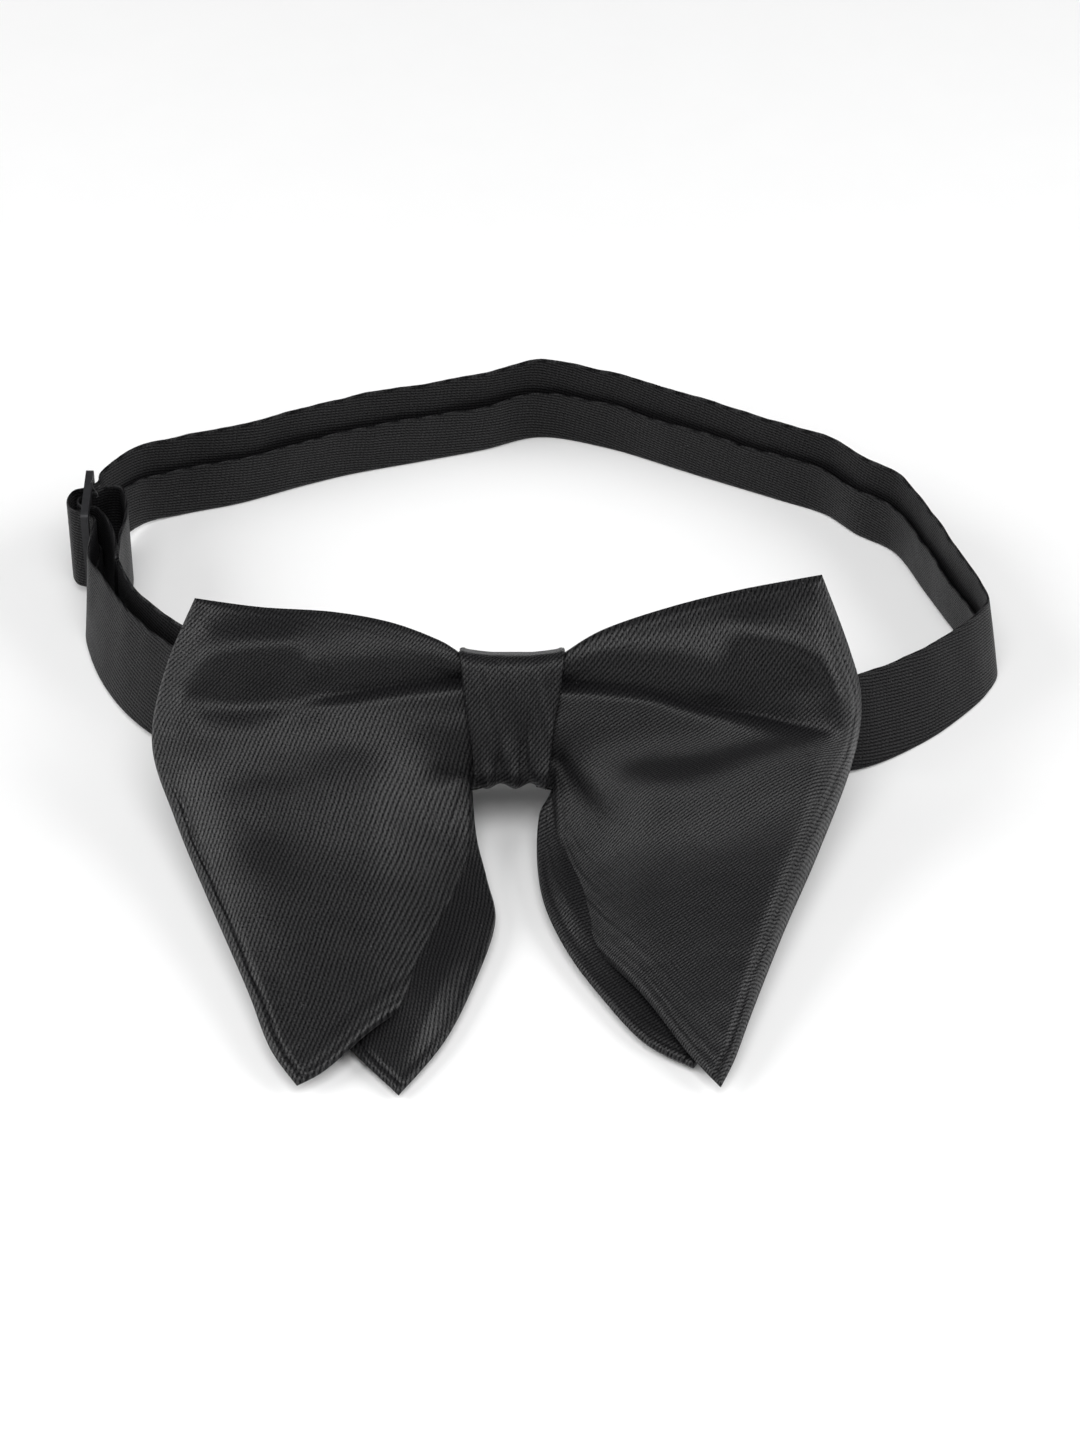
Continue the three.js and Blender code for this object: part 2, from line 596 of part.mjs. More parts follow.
function wingPanels(name, outline, drape, facePuff, backPuff, rootPuff) {
  const patch = wingPatch(outline);
  const offset = Math.sign(outline.top[0][0]) * ROOT_GAP;
  const place = (u, v, height) => {
    const flat = patch(u, v);
    return drape(flat.x + offset * (1 - u), flat.y, height);
  };
  const faceTop = (u, v) => SEAM_HALF + fullness(u, v, rootPuff[0], facePuff);
  const backTop = (u, v) => SEAM_HALF + fullness(u, v, rootPuff[1], backPuff);
  const face = sheet(WING_COLUMNS, WING_ROWS,
    (u, v) => place(u, v, faceTop(u, v)),
    (u, v) => place(u, v, faceTop(u, v) - WING_SHEET));
  const back = sheet(WING_COLUMNS, WING_ROWS,
    (u, v) => place(u, v, WING_SHEET - backTop(u, v)),
    (u, v) => place(u, v, -backTop(u, v)));
  // The interlining stops one step of the panels' grid short of their sewn edges.
  const inset = (u, v, height) => {
    const u2 = (u * (WING_COLUMNS - 1)) / WING_COLUMNS;
    const v2 = (1 + v * (WING_ROWS - 2)) / WING_ROWS;
    return place(u2, v2, height(u2, v2));
  };
  const pad = sheet(WING_COLUMNS - 1, WING_ROWS - 2,
    (u, v) => inset(u, v, (a, b) => PAD_FILL * (faceTop(a, b) - WING_SHEET)),
    (u, v) => inset(u, v, (a, b) => -PAD_FILL * (backTop(a, b) - WING_SHEET)));
  addPart(`${name}_face_panel`, face, CLOTH);
  addPart(`${name}_back_panel`, back, CLOTH);
  addPart(`${name}_interlining`, pad, LINING);
}

// ---- assembly -----------------------------------------------------------------------------------

addPart('knot_wrap', knotWrap(), CLOTH);
addPart('knot_interlining', knotPad(4.1, 4.8, 10, 0.8), LINING);
addPart('front_bow_waist', knotPad(0.6, 3, 10.9, 0.6), CLOTH);
addPart('rear_bow_waist', knotPad(-2.1, 0.3, 10.9, 0.6), CLOTH);
addPart('waist_binding_thread', waistBinding(), THREAD);
addPart('left_band_tack', knotTack(-5), THREAD);
addPart('right_band_tack', knotTack(5), THREAD);

addPart('right_front_band', rightFrontBand(), CLOTH);
addPart('back_band', backBand(), CLOTH);
addPart('band_interlining', sweepBand(BACK_PATH, 52, interliningOutline(LAP_STANDOFF)), LINING);
addPart('loop_over_slide_bar', loopOverBar(), CLOTH);
addPart('slide_frame', slideFrame(), COATED_METAL);
addPart('sewn_band_end', sewnEnd(), CLOTH);
addPart('sewn_end_tack', slideTack(), THREAD);
addPart('doubled_band', doubledRun(), CLOTH);
addPart('left_front_band', leftFrontBand(), CLOTH);
addPart('eye_tack', eyeTack(), THREAD);
addPart('hook', hookPlate(), COATED_METAL);
addPart('eye', eyePlate(), COATED_METAL);

const frontDrape = drapeSurface(FRONT_DRAPE, FRONT_KNOT_INDEX);
const rearDrape = drapeSurface(REAR_DRAPE, REAR_KNOT_INDEX);
wingPanels('left_front_wing', LEFT_FRONT, frontDrape, 6.4, 1.4, [2.4, 1.2]);
wingPanels('right_front_wing', RIGHT_FRONT, frontDrape, 6.4, 1.4, [2.4, 1.2]);
wingPanels('left_rear_wing', LEFT_REAR, rearDrape, 0.8, 1, [0.4, 0.05]);
wingPanels('right_rear_wing', RIGHT_REAR, rearDrape, 0.8, 1, [0.4, 0.05]);

bowTie.position.set(-FOOTPRINT_MIDDLE[0], -FOOTPRINT_MIDDLE[1], 0);

export default bowTie;
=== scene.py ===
"""A black satin bow tie on a pale table: the soft pieces and finishes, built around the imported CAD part.

Shapes are laid out in millimetres from the point on the table straight below the middle of the knot:
+X along the bow, the front faces -Y, +Z up. metres() moves them into the part's frame, whose origin is
under the middle of the bow tie's footprint.
"""
import math

import bmesh
import bpy
import numpy as np
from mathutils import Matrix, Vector


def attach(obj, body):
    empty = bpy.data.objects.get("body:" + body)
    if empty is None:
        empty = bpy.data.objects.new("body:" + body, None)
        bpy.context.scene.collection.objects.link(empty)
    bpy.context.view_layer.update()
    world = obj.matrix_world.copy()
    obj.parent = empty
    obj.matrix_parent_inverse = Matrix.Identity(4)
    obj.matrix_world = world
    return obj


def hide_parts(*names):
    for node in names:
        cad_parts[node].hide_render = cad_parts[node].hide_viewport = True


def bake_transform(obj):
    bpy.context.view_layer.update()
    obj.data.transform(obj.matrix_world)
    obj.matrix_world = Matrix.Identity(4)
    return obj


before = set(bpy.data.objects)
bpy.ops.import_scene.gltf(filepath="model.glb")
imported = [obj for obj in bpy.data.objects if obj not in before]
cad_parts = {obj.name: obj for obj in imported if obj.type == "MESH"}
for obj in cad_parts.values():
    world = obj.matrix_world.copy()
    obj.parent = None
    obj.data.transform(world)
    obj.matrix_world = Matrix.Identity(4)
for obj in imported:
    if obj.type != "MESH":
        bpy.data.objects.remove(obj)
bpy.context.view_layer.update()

MM = 0.001
FOOTPRINT_MIDDLE = np.array([3.23, 15.17, 0.0])


def metres(points):
    """Places laid out in millimetres from below the knot, as metres in the part's frame."""
    return (np.asarray(points, float) - FOOTPRINT_MIDDLE) * MM


# ---- places that the CAD part fixes ----

BAND_WIDTH = 20.0
LAP_HEIGHT = 12.5
KNOT_LEAN = math.radians(35)
KNOT_MIDDLE = (-3.1, 21.6)
KNOT_HEIGHT = 26.0
KNOT_FRONT = 6.1
KNOT_BACK = 7.1
KNOT_HALF_TOP = 10.0
KNOT_HALF_BOTTOM = 7.0
SEAM_HALF = 0.95
SLIDE_CENTRE = (-86.0, 63.2)
SLIDE_LIFT = 2.0
EYE_X = -29.0
FITTING_FOOT = (-1.2, 6.6)
FITTING_LEAN = 30.0
FITTING_PLATE = 0.8
FITTING_BAR = 1.2
FITTING_SLOT = 2.6
EYE_WINDOW = 3.2
TONGUE_LENGTH = 8.0
HOOK_SETBACK = 1.4

# Side view of each bow, y and z of its seam from the top edge past the knot to the tips.
FRONT_DRAPE = [(11, 50), (8, 45), (2, 34), (-5, 23.5), (-14, 15.8), (-30, 10.4), (-50, 7.6), (-70, 5.2),
               (-87, 2.6)]
REAR_DRAPE = [(12.6, 41), (10, 37.5), (4.5, 29), (-1, 20.5), (-9.4, 11.6), (-24, 5), (-45, 3.1),
              (-70, 2.1), (-90, 1.4)]
KNOT_INDEX = 3

# Each wing laid flat: [across the bow, down from the knot] of its top, outer and inner edges.
LEFT_FRONT = {
    "top": [(-9.6, -12), (-14, -14.6), (-23, -17.9), (-34, -19.9), (-47.5, -20.8), (-59.8, -22.5)],
    "outer": [(-59.8, -22.5), (-65.7, -8.7), (-68.2, 5.5), (-63.4, 20.6), (-57.1, 37), (-48.2, 60),
              (-43.4, 73.6), (-38.2, 82)],
    "inner": [(-7.4, 12.8), (-7.8, 29.3), (-10.4, 45.8), (-16.2, 58.6), (-26, 70.5), (-33, 78.4),
              (-38.2, 82)],
}
RIGHT_FRONT = {
    "top": [(9.6, -12), (17, -16.4), (29.1, -20.6), (42.8, -24.1), (58.4, -27)],
    "outer": [(58.4, -27), (63.9, -12.6), (66.2, -3), (64.6, 8.4), (57.8, 27.1), (50.4, 46.5), (44, 65),
              (40.4, 76), (37.6, 82.4)],
    "inner": [(7.4, 12.8), (9.4, 31.6), (14.5, 45.8), (23.5, 60.4), (31.4, 74), (37.6, 82.4)],
}
LEFT_REAR = {
    "top": [(-9.6, -10.6), (-22, -14), (-40, -15.6), (-57, -16.6)],
    "outer": [(-57, -16.6), (-61, 2), (-57, 22), (-47, 46), (-34, 70), (-20, 88)],
    "inner": [(-7.4, 12.2), (-6.6, 24), (-4.6, 34), (-3, 45), (-6.6, 60), (-12, 75), (-20, 88)],
}
RIGHT_REAR = {
    "top": [(9.6, -10.6), (22, -14), (40, -15.6), (57, -16.6)],
    "outer": [(57, -16.6), (61, 2), (57, 22), (49, 46), (41, 68), (33, 81.4)],
    "inner": [(7.4, 12.2), (7, 15.6), (5, 20), (4.7, 30), (6.2, 41), (10.3, 52.5), (16.3, 63.6),
              (24, 75), (33, 81.4)],
}

# Foot of the neckband: x, y, z, and the lean of its top towards the neck in degrees. Three places on it
# are named first; BAR_APEX is how far outward and forward of the slide's bar its turn over the bar reaches.
KNOT_FOOT = (-5.2, 10.2)
RIGHT_BEND = (96.6, 34.5)
HOOK_SIDE = (-86.2, 46.4)
BAR_APEX = (4, 0)
STRAP_PATH = [
    (0.6, *KNOT_FOOT, 35), (12, *KNOT_FOOT, 35), (19, -3.1, 8.4, 32), (28, -0.4, 6.2, 29),
    (40, 2, 3.6, 25), (54, 3.4, 1.6, 22), (67, 5, 0.6, 19), (81, 14, 0, 16), (89, 21.8, 0, 13),
    (94, 28.2, 0, 10), (*RIGHT_BEND, 0, 8), (94, 40.5, 0, 5), (90, 48, 0, 2), (85, 60, 0, 0),
    (79, 74, 0, 0), (71.5, 80, 0, 0), (65.5, 86.5, 0, 0), (55, 92, 0, 0), (39, 100, 0, 0),
    (19, 110, 0, 0), (5, 113.5, 0, 0), (-7, 109, 0, 0), (-20, 105, 0, 0), (-35, 100.5, 0, 0),
    (-45, 96.5, 0, 0), (-58, 90.5, 0, 0), (-69, 87, 0, 0), (-77, 83.2, 0.6, 0),
]


# ---- curves ----

def spline_at(points, t):
    """Points of a uniform Catmull-Rom curve; t runs 0 to 1 over the points."""
    p = np.array(points, float)
    last = len(p) - 1
    s = np.clip(np.asarray(t, float) * last, 0, last)
    i = np.minimum(s.astype(int), last - 1)
    f = (s - i)[..., None]
    a, b, c, d = p[np.maximum(i - 1, 0)], p[i], p[i + 1], p[np.minimum(i + 2, last)]
    return 0.5 * (2 * b + (c - a) * f + (2 * a - 5 * b + 4 * c - d) * f**2 + (3 * b - a - 3 * c + d) * f**3)


def lengths_along(points):
    steps = np.linalg.norm(np.diff(points[:, :3], axis=0), axis=1)
    return np.concatenate([[0], np.cumsum(steps)])


def path_through(points, spacing):
    """A centripetal Catmull-Rom curve through the points, resampled at an even spacing."""
    p = np.array(points, float)
    p = np.vstack([2 * p[0] - p[1], p, 2 * p[-1] - p[-2]])
    rows = []
    for a, b, c, d in zip(p, p[1:], p[2:], p[3:]):
        knots = np.cumsum([0] + [math.sqrt(np.linalg.norm((q - r)[:3])) for q, r in ((b, a), (c, b), (d, c))])
        t0, t1, t2, t3 = knots
        t = np.linspace(t1, t2, 16, endpoint=False)[:, None]
        ab = ((t1 - t) * a + (t - t0) * b) / (t1 - t0)
        bc = ((t2 - t) * b + (t - t1) * c) / (t2 - t1)
        cd = ((t3 - t) * c + (t - t2) * d) / (t3 - t2)
        abc = ((t2 - t) * ab + (t - t0) * bc) / (t2 - t0)
        bcd = ((t3 - t) * bc + (t - t1) * cd) / (t3 - t1)
        rows.append(((t2 - t) * abc + (t - t1) * bcd) / (t2 - t1))
    fine = np.vstack(rows + [p[-2][None]])
    along = lengths_along(fine)
    even = np.linspace(0, along[-1], max(2, int(along[-1] / spacing) + 1))
    return np.stack([np.interp(even, along, fine[:, k]) for k in range(fine.shape[1])], axis=1)


def smooth(x, start, end):
    t = np.clip((x - start) / (end - start), 0, 1)
    return t * t * (3 - 2 * t)


def bump(x, middle, width):
    return np.exp(-(((x - middle) / width) ** 2))


def ripple(x, seed, longest, octaves=3):
    """A smooth wandering value between about -1 and 1 along x, the same on every run."""
    total = np.zeros_like(np.asarray(x, float))
    rng = np.random.default_rng(seed)
    for k in range(octaves):
        phase, turn = rng.uniform(0, 2 * math.pi, 2)
        stretch = rng.uniform(0.85, 1.2)
        total += np.sin(2 * math.pi * x * stretch * 1.9**k / longest + phase + 0.4 * math.sin(turn)) / 1.7**k
    return total / 1.9


def distance_to_line(points, line):
    """Distance from each point to a polyline, how far along the line, and the side it is on."""
    flat = points.reshape(-1, 2)
    best = np.full(len(flat), np.inf)
    where = np.zeros(len(flat))
    side = np.zeros(len(flat))
    walked = 0.0
    for a, b in zip(line[:-1], line[1:]):
        step = b - a
        length = np.linalg.norm(step)
        t = np.clip((flat - a) @ step / length**2, 0, 1)
        off = flat - (a + t[:, None] * step)
        gap = np.linalg.norm(off, axis=1)
        nearer = gap < best
        best[nearer] = gap[nearer]
        where[nearer] = (walked + t * length)[nearer]
        side[nearer] = np.sign(step[0] * off[:, 1] - step[1] * off[:, 0])[nearer]
        walked += length
    shape = points.shape[:-1]
    return best.reshape(shape), where.reshape(shape), side.reshape(shape)


def ribs_at(flat, angle):
    """Cloth coordinates whose first axis runs along the ribs, which rise to the right by an angle."""
    a = math.radians(angle)
    x, down = flat[..., 0], flat[..., 1]
    return np.stack([x * math.cos(a) - down * math.sin(a), x * math.sin(a) + down * math.cos(a)], axis=-1)


def ribs_bent(flat, above, below, fold):
    """Cloth coordinates of a wing whose ribs rise at one angle above its pleat and at another below it."""
    x, down = flat[..., 0], flat[..., 1]
    from_fold = down - np.interp(np.abs(x), *fold)
    steep, shallow = (1 / math.tan(math.radians(angle)) for angle in (above, below))
    scale = math.sqrt(math.sin(math.radians(above)) * math.sin(math.radians(below)))
    bend = 2.5 * np.logaddexp(0, -from_fold / 2.5)
    across = scale * (x + shallow * down - (steep - shallow) * bend)
    lower = math.radians(below)
    return np.stack([x * math.cos(lower) - down * math.sin(lower), across], axis=-1)


# ---- meshes ----

def make_object(name, vertices, faces, uvs=None, smooth_shading=True, crease=None):
    mesh = bpy.data.meshes.new(name)
    mesh.from_pydata(metres(vertices).tolist(), [], faces)
    if uvs is not None:
        layer = mesh.uv_layers.new(name="cloth")
        corners = np.empty(len(mesh.loops), np.int32)
        mesh.loops.foreach_get("vertex_index", corners)
        layer.data.foreach_set("uv", np.asarray(uvs, np.float32)[corners].ravel())
    # the crease values are painted shade for the pleats, kept as a mesh attribute for the material to read
    if crease is not None:
        mesh.attributes.new("crease", "FLOAT", "POINT").data.foreach_set("value", np.ravel(crease))
    mesh.polygons.foreach_set("use_smooth", [smooth_shading] * len(mesh.polygons))
    mesh.validate()
    mesh.update()
    thing = bpy.data.objects.new(name, mesh)
    bpy.context.scene.collection.objects.link(thing)
    return thing


def grid_faces(rows, columns, wrap_rows=False, wrap_columns=False, flip=False, start=0):
    r = np.arange(rows if wrap_rows else rows - 1)
    c = np.arange(columns if wrap_columns else columns - 1)
    i, j = np.meshgrid(r, c, indexing="ij")
    i2, j2 = (i + 1) % rows, (j + 1) % columns
    quads = np.stack([i * columns + j, i2 * columns + j, i2 * columns + j2, i * columns + j2], axis=-1)
    quads = quads.reshape(-1, 4) + start
    return (quads[:, ::-1] if flip else quads).tolist()


def tube(name, path, radius):
    """A round thread along a path."""
    sides = 6
    path = np.array(path, float)
    tangent = np.gradient(path, axis=0)
    tangent /= np.linalg.norm(tangent, axis=1)[:, None]
    side = np.cross(tangent, [0.31, 0.17, 0.93])
    side /= np.linalg.norm(side, axis=1)[:, None]
    other = np.cross(tangent, side)
    turn = np.linspace(0, 2 * math.pi, sides, endpoint=False)
    around = side[:, None] * np.cos(turn)[:, None] + other[:, None] * np.sin(turn)[:, None]
    rings = path[:, None] + radius * around
    vertices = rings.reshape(-1, 3)
    faces = grid_faces(len(path), sides, wrap_columns=True)
    faces.append(list(range(sides)))
    faces.append([len(vertices) - 1 - k for k in range(sides)])
    along = lengths_along(path)
    uvs = np.stack([np.repeat(along, sides), np.tile(turn * radius, len(path))], axis=1)
    return make_object(name, vertices, faces, uvs)


def outward_normals(thing):
    """Turns every face of a closed mesh to face out."""
    work = bmesh.new()
    work.from_mesh(thing.data)
    bmesh.ops.recalc_face_normals(work, faces=work.faces)
    work.to_mesh(thing.data)
    work.free()
    return thing


# ---- finishes ----

class Nodes:
    """A short way to write a material's node tree."""

    def __init__(self, name):
        self.material = bpy.data.materials.new(name)
        self.material.use_nodes = True
        self.tree = self.material.node_tree
        self.shader = self.tree.nodes["Principled BSDF"]

    def add(self, kind, inputs=None, **settings):
        node = self.tree.nodes.new(kind)
        for key, value in settings.items():
            setattr(node, key, value)
        for key, value in (inputs or {}).items():
            if isinstance(value, bpy.types.NodeSocket):
                self.tree.links.new(value, node.inputs[key])
            else:
                node.inputs[key].default_value = value
        return node

    def maths(self, operation, a, b=0.0, c=0.0):
        return self.add("ShaderNodeMath", {0: a, 1: b, 2: c}, operation=operation).outputs[0]

    def swing(self, angle):
        return self.maths("MULTIPLY_ADD", self.maths("SINE", angle), 0.5, 0.5)

    def noise(self, place, scale, detail, output="Fac", roughness=0.5):
        inputs = {"Vector": place, "Scale": scale, "Detail": detail, "Roughness": roughness}
        return self.add("ShaderNodeTexNoise", inputs).outputs[output]

    def between(self, value, to_low, to_high, from_low=0.0, from_high=1.0):
        inputs = {"Value": value, "From Min": from_low, "From Max": from_high}
        return self.add("ShaderNodeMapRange", {**inputs, "To Min": to_low, "To Max": to_high}).outputs[0]

    def mix(self, share, first, second):
        return self.add("ShaderNodeMixRGB", {"Fac": share, "Color1": first, "Color2": second}).outputs[0]

    def bump(self, height, distance, **under):
        return self.add("ShaderNodeBump", {"Height": height, "Distance": distance * MM, **under}).outputs[0]

    def set(self, **inputs):
        for key, value in inputs.items():
            socket = self.shader.inputs[key.replace("_", " ")]
            if isinstance(value, bpy.types.NodeSocket):
                self.tree.links.new(value, socket)
            else:
                socket.default_value = value


RIB_PITCH = 0.7
RIB_DEPTH = 0.04


def twill(name, shade=1.0, rough=0.38, gloss=0.18):
    """Satin twill: diagonal ribs of bright floats over dark grooves, a soft sheen and some lint.

    The pattern lies in the cloth's own flat coordinates (millimetres), so it bends with the cloth.
    """
    n = Nodes(name)
    place = n.add("ShaderNodeUVMap", uv_map="cloth").outputs[0]
    drift = n.noise(place, 0.045, 2.0, "Color")
    wander = n.add("ShaderNodeVectorMath", {0: drift, 1: (1.6, 1.6, 0)}, operation="MULTIPLY").outputs[0]
    bent = n.add("ShaderNodeVectorMath", {0: place, 1: wander}, operation="ADD").outputs[0]
    split = n.add("ShaderNodeSeparateXYZ", {"Vector": bent})
    across = n.maths("MULTIPLY", split.outputs["Y"], 2 * math.pi / RIB_PITCH)
    along = n.maths("MULTIPLY", split.outputs["X"], 2 * math.pi / (1.3 * RIB_PITCH))
    rib, step = n.swing(across), n.swing(n.maths("ADD", along, across))
    grain = n.between(n.noise(place, 3.2, 3.0, roughness=0.75), 0, 1, 0.3, 0.7)
    height = n.maths("MULTIPLY_ADD", step, 0.4, n.maths("MULTIPLY_ADD", grain, 0.6, rib))
    broad = n.noise(place, 0.1, 2.0)
    relief = n.bump(broad, 0.4, Normal=n.bump(height, RIB_DEPTH))
    floats = n.maths("MULTIPLY", rib, n.maths("MULTIPLY_ADD", step, 0.55, 0.45))
    tone = n.maths("MULTIPLY_ADD", grain, 0.7, n.maths("MULTIPLY", floats, 0.6))
    colour = n.add("ShaderNodeValToRGB", {"Fac": tone})
    dark, light = colour.color_ramp.elements
    dark.position, light.position = 0.1, 1.0
    # shade scales the cloth's colour; under 1 it gives a darker copy of the same satin as painted shade
    dark.color = (0.001 * shade, 0.001 * shade, 0.0013 * shade, 1)
    light.color = (0.016 * shade, 0.0158 * shade, 0.0168 * shade, 1)
    lint = n.add("ShaderNodeTexVoronoi", {"Vector": place, "Scale": 0.42, "Randomness": 1.0})
    fleck = n.maths("MULTIPLY", n.maths("LESS_THAN", lint.outputs["Distance"], 0.045), 0.35)
    shine = n.between(tone, 0.06 * gloss, 3.0 * gloss, 0.25, 0.9)
    # painted shade: the crease attribute turns the reflection down in the pleats' folds
    crease_shade = n.add("ShaderNodeAttribute", attribute_name="crease").outputs["Fac"]
    n.set(Base_Color=n.mix(fleck, colour.outputs[0], (0.16, 0.16, 0.165, 1)), Normal=relief,
          Roughness=n.between(broad, rough - 0.05, rough + 0.09),
          Specular_IOR_Level=n.maths("MULTIPLY", shine, n.maths("SUBTRACT", 1.0, crease_shade)),
          Sheen_Weight=0.02, Sheen_Roughness=0.4, Sheen_Tint=(0.75, 0.75, 0.8, 1))
    return n.material


def sewing_thread(name):
    """Black thread whose twisted plies show as fine diagonal waves."""
    n = Nodes(name)
    place = n.add("ShaderNodeUVMap", uv_map="cloth").outputs[0]
    wave = {"Vector": place, "Scale": 0.9, "Distortion": 0.5}
    ply = n.add("ShaderNodeTexWave", wave, bands_direction="DIAGONAL").outputs["Fac"]
    colour = n.add("ShaderNodeValToRGB", {"Fac": ply})
    colour.color_ramp.elements[0].color = (0.004, 0.004, 0.005, 1)
    colour.color_ramp.elements[1].color = (0.022, 0.022, 0.024, 1)
    n.set(Base_Color=colour.outputs[0], Roughness=0.6, Sheen_Weight=0.3, Normal=n.bump(ply, 0.05))
    return n.material


def coated_metal(name):
    """Black enamel over steel, worn a little on its edges."""
    n = Nodes(name)
    grain = n.noise(n.add("ShaderNodeTexCoord").outputs["Object"], 900.0, 4.0)
    edge = n.add("ShaderNodeNewGeometry").outputs["Pointiness"]
    wear = n.maths("MULTIPLY", n.between(edge, 0, 1, 0.52, 0.6), grain)
    n.set(Base_Color=n.mix(wear, (0.006, 0.006, 0.0065, 1), (0.06, 0.06, 0.065, 1)),
          Metallic=n.maths("MULTIPLY", wear, 0.8), Roughness=n.between(grain, 0.38, 0.52),
          Normal=n.bump(grain, 0.02), Specular_IOR_Level=0.3)
    return n.material


def table_top(name):
    """A pale matt table with the faintest mottling."""
    n = Nodes(name)
    grain = n.noise(n.add("ShaderNodeTexCoord").outputs["Object"], 60.0, 3.0)
    n.set(Base_Color=n.mix(grain, (0.93, 0.93, 0.93, 1), (0.95, 0.95, 0.95, 1)), Roughness=0.8,
          Specular_IOR_Level=0.1)
    return n.material


def dress(thing, material):
    thing.data.materials.clear()
    thing.data.materials.append(material)
    return thing


def fit(thing, material, slot, body, *nodes):
    """Dresses a piece that moves with one body and stands in for these CAD pieces."""
    dress(thing, material)
    if nodes:
        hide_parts(*nodes)
    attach(thing, body)


# ---- the wings ----

WING_ACROSS = 130
WING_DOWN = 132
EDGE_STEPS = (0, 0.12, 0.3, 0.55, 0.85, 1.15, 1.4, 1.6, 1.8, 2.0, 2.3, 2.8, 3.5)
ROOT_TUCK = 3.2
ROOT_SINK = 7.5
SINK_DOWN = (1, 23)
SINK_ACROSS = (4, 28)
KNOT_SHADOW = (6, 28)
SKIN = 0.42

# How far each panel's padding stands off beside the knot and in the wing's middle, and how many
# millimetres in from its outer, inner and top edges the padding takes to rise.
FRONT_FACE_PUFF = (1.5, 8.2)
FRONT_BACK_PUFF = (1.2, 1.4)
REAR_FACE_PUFF = (0.4, 0.8)
REAR_BACK_PUFF = (0.05, 1.0)
EVEN_SHOULDERS = (8.0, 8.0, 8.0)


class Wing:
    """One wing: a flat pattern draped over the table, with a face panel and a back panel."""

    def __init__(self, outline, drape, root_sink=0.0):
        self.root_sink = root_sink
        self.side = np.sign(outline["top"][0][0])
        self.outline = outline
        self.curve = spline_at(drape, np.linspace(0, 1, 1601))
        self.walk = lengths_along(self.curve)
        self.knot_at = self.walk[int(round(KNOT_INDEX / (len(drape) - 1) * 1600))]
        self.make_grid()

    def patch(self, u, v):
        """A flat Coons patch between the root, the top edge, the outer edge and the inner edge."""
        o = self.outline
        root_top, root_bottom = np.array(o["top"][0], float), np.array(o["inner"][0], float)
        corner, tip = np.array(o["outer"][0], float), np.array(o["outer"][-1], float)
        top, inner, outer = spline_at(o["top"], u), spline_at(o["inner"], u), spline_at(o["outer"], v)
        u, v = u[..., None], v[..., None]
        root = root_top * (1 - v) + root_bottom * v
        point = top * (1 - v) + inner * v + root * (1 - u) + outer * u
        point = point - root_top * (1 - u) * (1 - v) - root_bottom * (1 - u) * v
        return point - corner * u * (1 - v) - tip * u * v

    def make_grid(self):
        """Rows and columns that crowd towards the sewn edges, and columns that tuck into the knot."""
        steps = np.array(EDGE_STEPS)
        even_u = np.linspace(0, 1, WING_ACROSS)
        down = spline_at(self.outline["top"], even_u) - spline_at(self.outline["inner"], even_u)
        widths = np.maximum(np.linalg.norm(down, axis=1), 12)
        inner_count = WING_DOWN - 2 * len(steps)
        rows = []
        for width in widths:
            near = steps / width
            middle = np.linspace(near[-1], 1 - near[-1], inner_count + 2)[1:-1]
            rows.append(np.concatenate([near, middle, 1 - near[::-1]]))
        v = np.array(rows)
        span = max(40.0, np.linalg.norm(np.subtract(self.outline["outer"][0], self.outline["top"][0])))
        near = 1 - steps[::-1] / span
        u_line = np.concatenate([np.linspace(0, near[0], WING_ACROSS - len(steps) + 1)[:-1], near])
        v = np.stack([np.interp(u_line, even_u, v[:, k]) for k in range(v.shape[1])], axis=1)
        u = np.repeat(u_line[:, None], v.shape[1], axis=1)
        self.u, self.v = u, v
        self.flat = self.patch(u, v)
        self.flat[..., 0] += self.side * 0.35 * (1 - u) ** 4
        distances = [self.line_off(self.outline[key], 160)[0] for key in ("outer", "top", "inner")]
        self.to_outer, self.to_top, self.to_inner = distances
        self.to_edge = np.minimum(self.to_outer, np.minimum(self.to_top, self.to_inner))

    def side_view(self, down):
        """The y and z of the drape's line at a distance down it."""
        return np.array([np.interp(down, self.walk, self.curve[:, k]) for k in (0, 1)])

    def place(self, flat, height):
        """Lays flat places on the drape, some height off it; the root below the knot sinks to clear it."""
        end = self.walk[-1]
        down = np.clip(self.knot_at + flat[..., 1], 0, end)
        y, z = self.side_view(down)
        ty, tz = self.side_view(np.clip(down + 1, 0, end)) - self.side_view(np.clip(down - 1, 0, end))
        size = np.hypot(ty, tz)
        ty, tz = ty / size, tz / size
        sunk = self.root_sink * smooth(flat[..., 1], *SINK_DOWN)
        height = height - sunk * (1 - smooth(np.abs(flat[..., 0]), *SINK_ACROSS))
        return np.stack([flat[..., 0], y + tz * height, z - ty * height], axis=-1)

    def fullness(self, puff, shoulders=EVEN_SHOULDERS):
        """How far the padded panel stands off: thin at its edges and its tip, level in the middle."""
        at_knot, in_middle = puff
        at_root = np.sin(math.pi * np.clip(self.v, 0, 1)) ** 0.62 * (1 - self.u) ** 3
        from_knot = 1 - np.exp(-np.maximum(np.abs(self.flat[..., 0]) - 7.5, 0) / 9.0)
        outer, inner, top = shoulders
        level = np.tanh(self.to_outer / outer) * np.tanh(self.to_inner / inner) * np.tanh(self.to_top / top)
        return at_knot * at_root + in_middle * from_knot * level

    def line_off(self, line, steps=60):
        """Distance from each place to a curve on the flat wing, how far along it, and the side it is on."""
        return distance_to_line(self.flat, spline_at(line, np.linspace(0, 1, steps)))


def edge_round(distance):
    """The rolled edge of a turned seam: nothing at the very edge, SEAM_HALF a little way in."""
    reach = 1.15
    t = np.clip(distance / reach, 0, 1)
    return SEAM_HALF * np.sqrt(1 - (1 - t) ** 2)


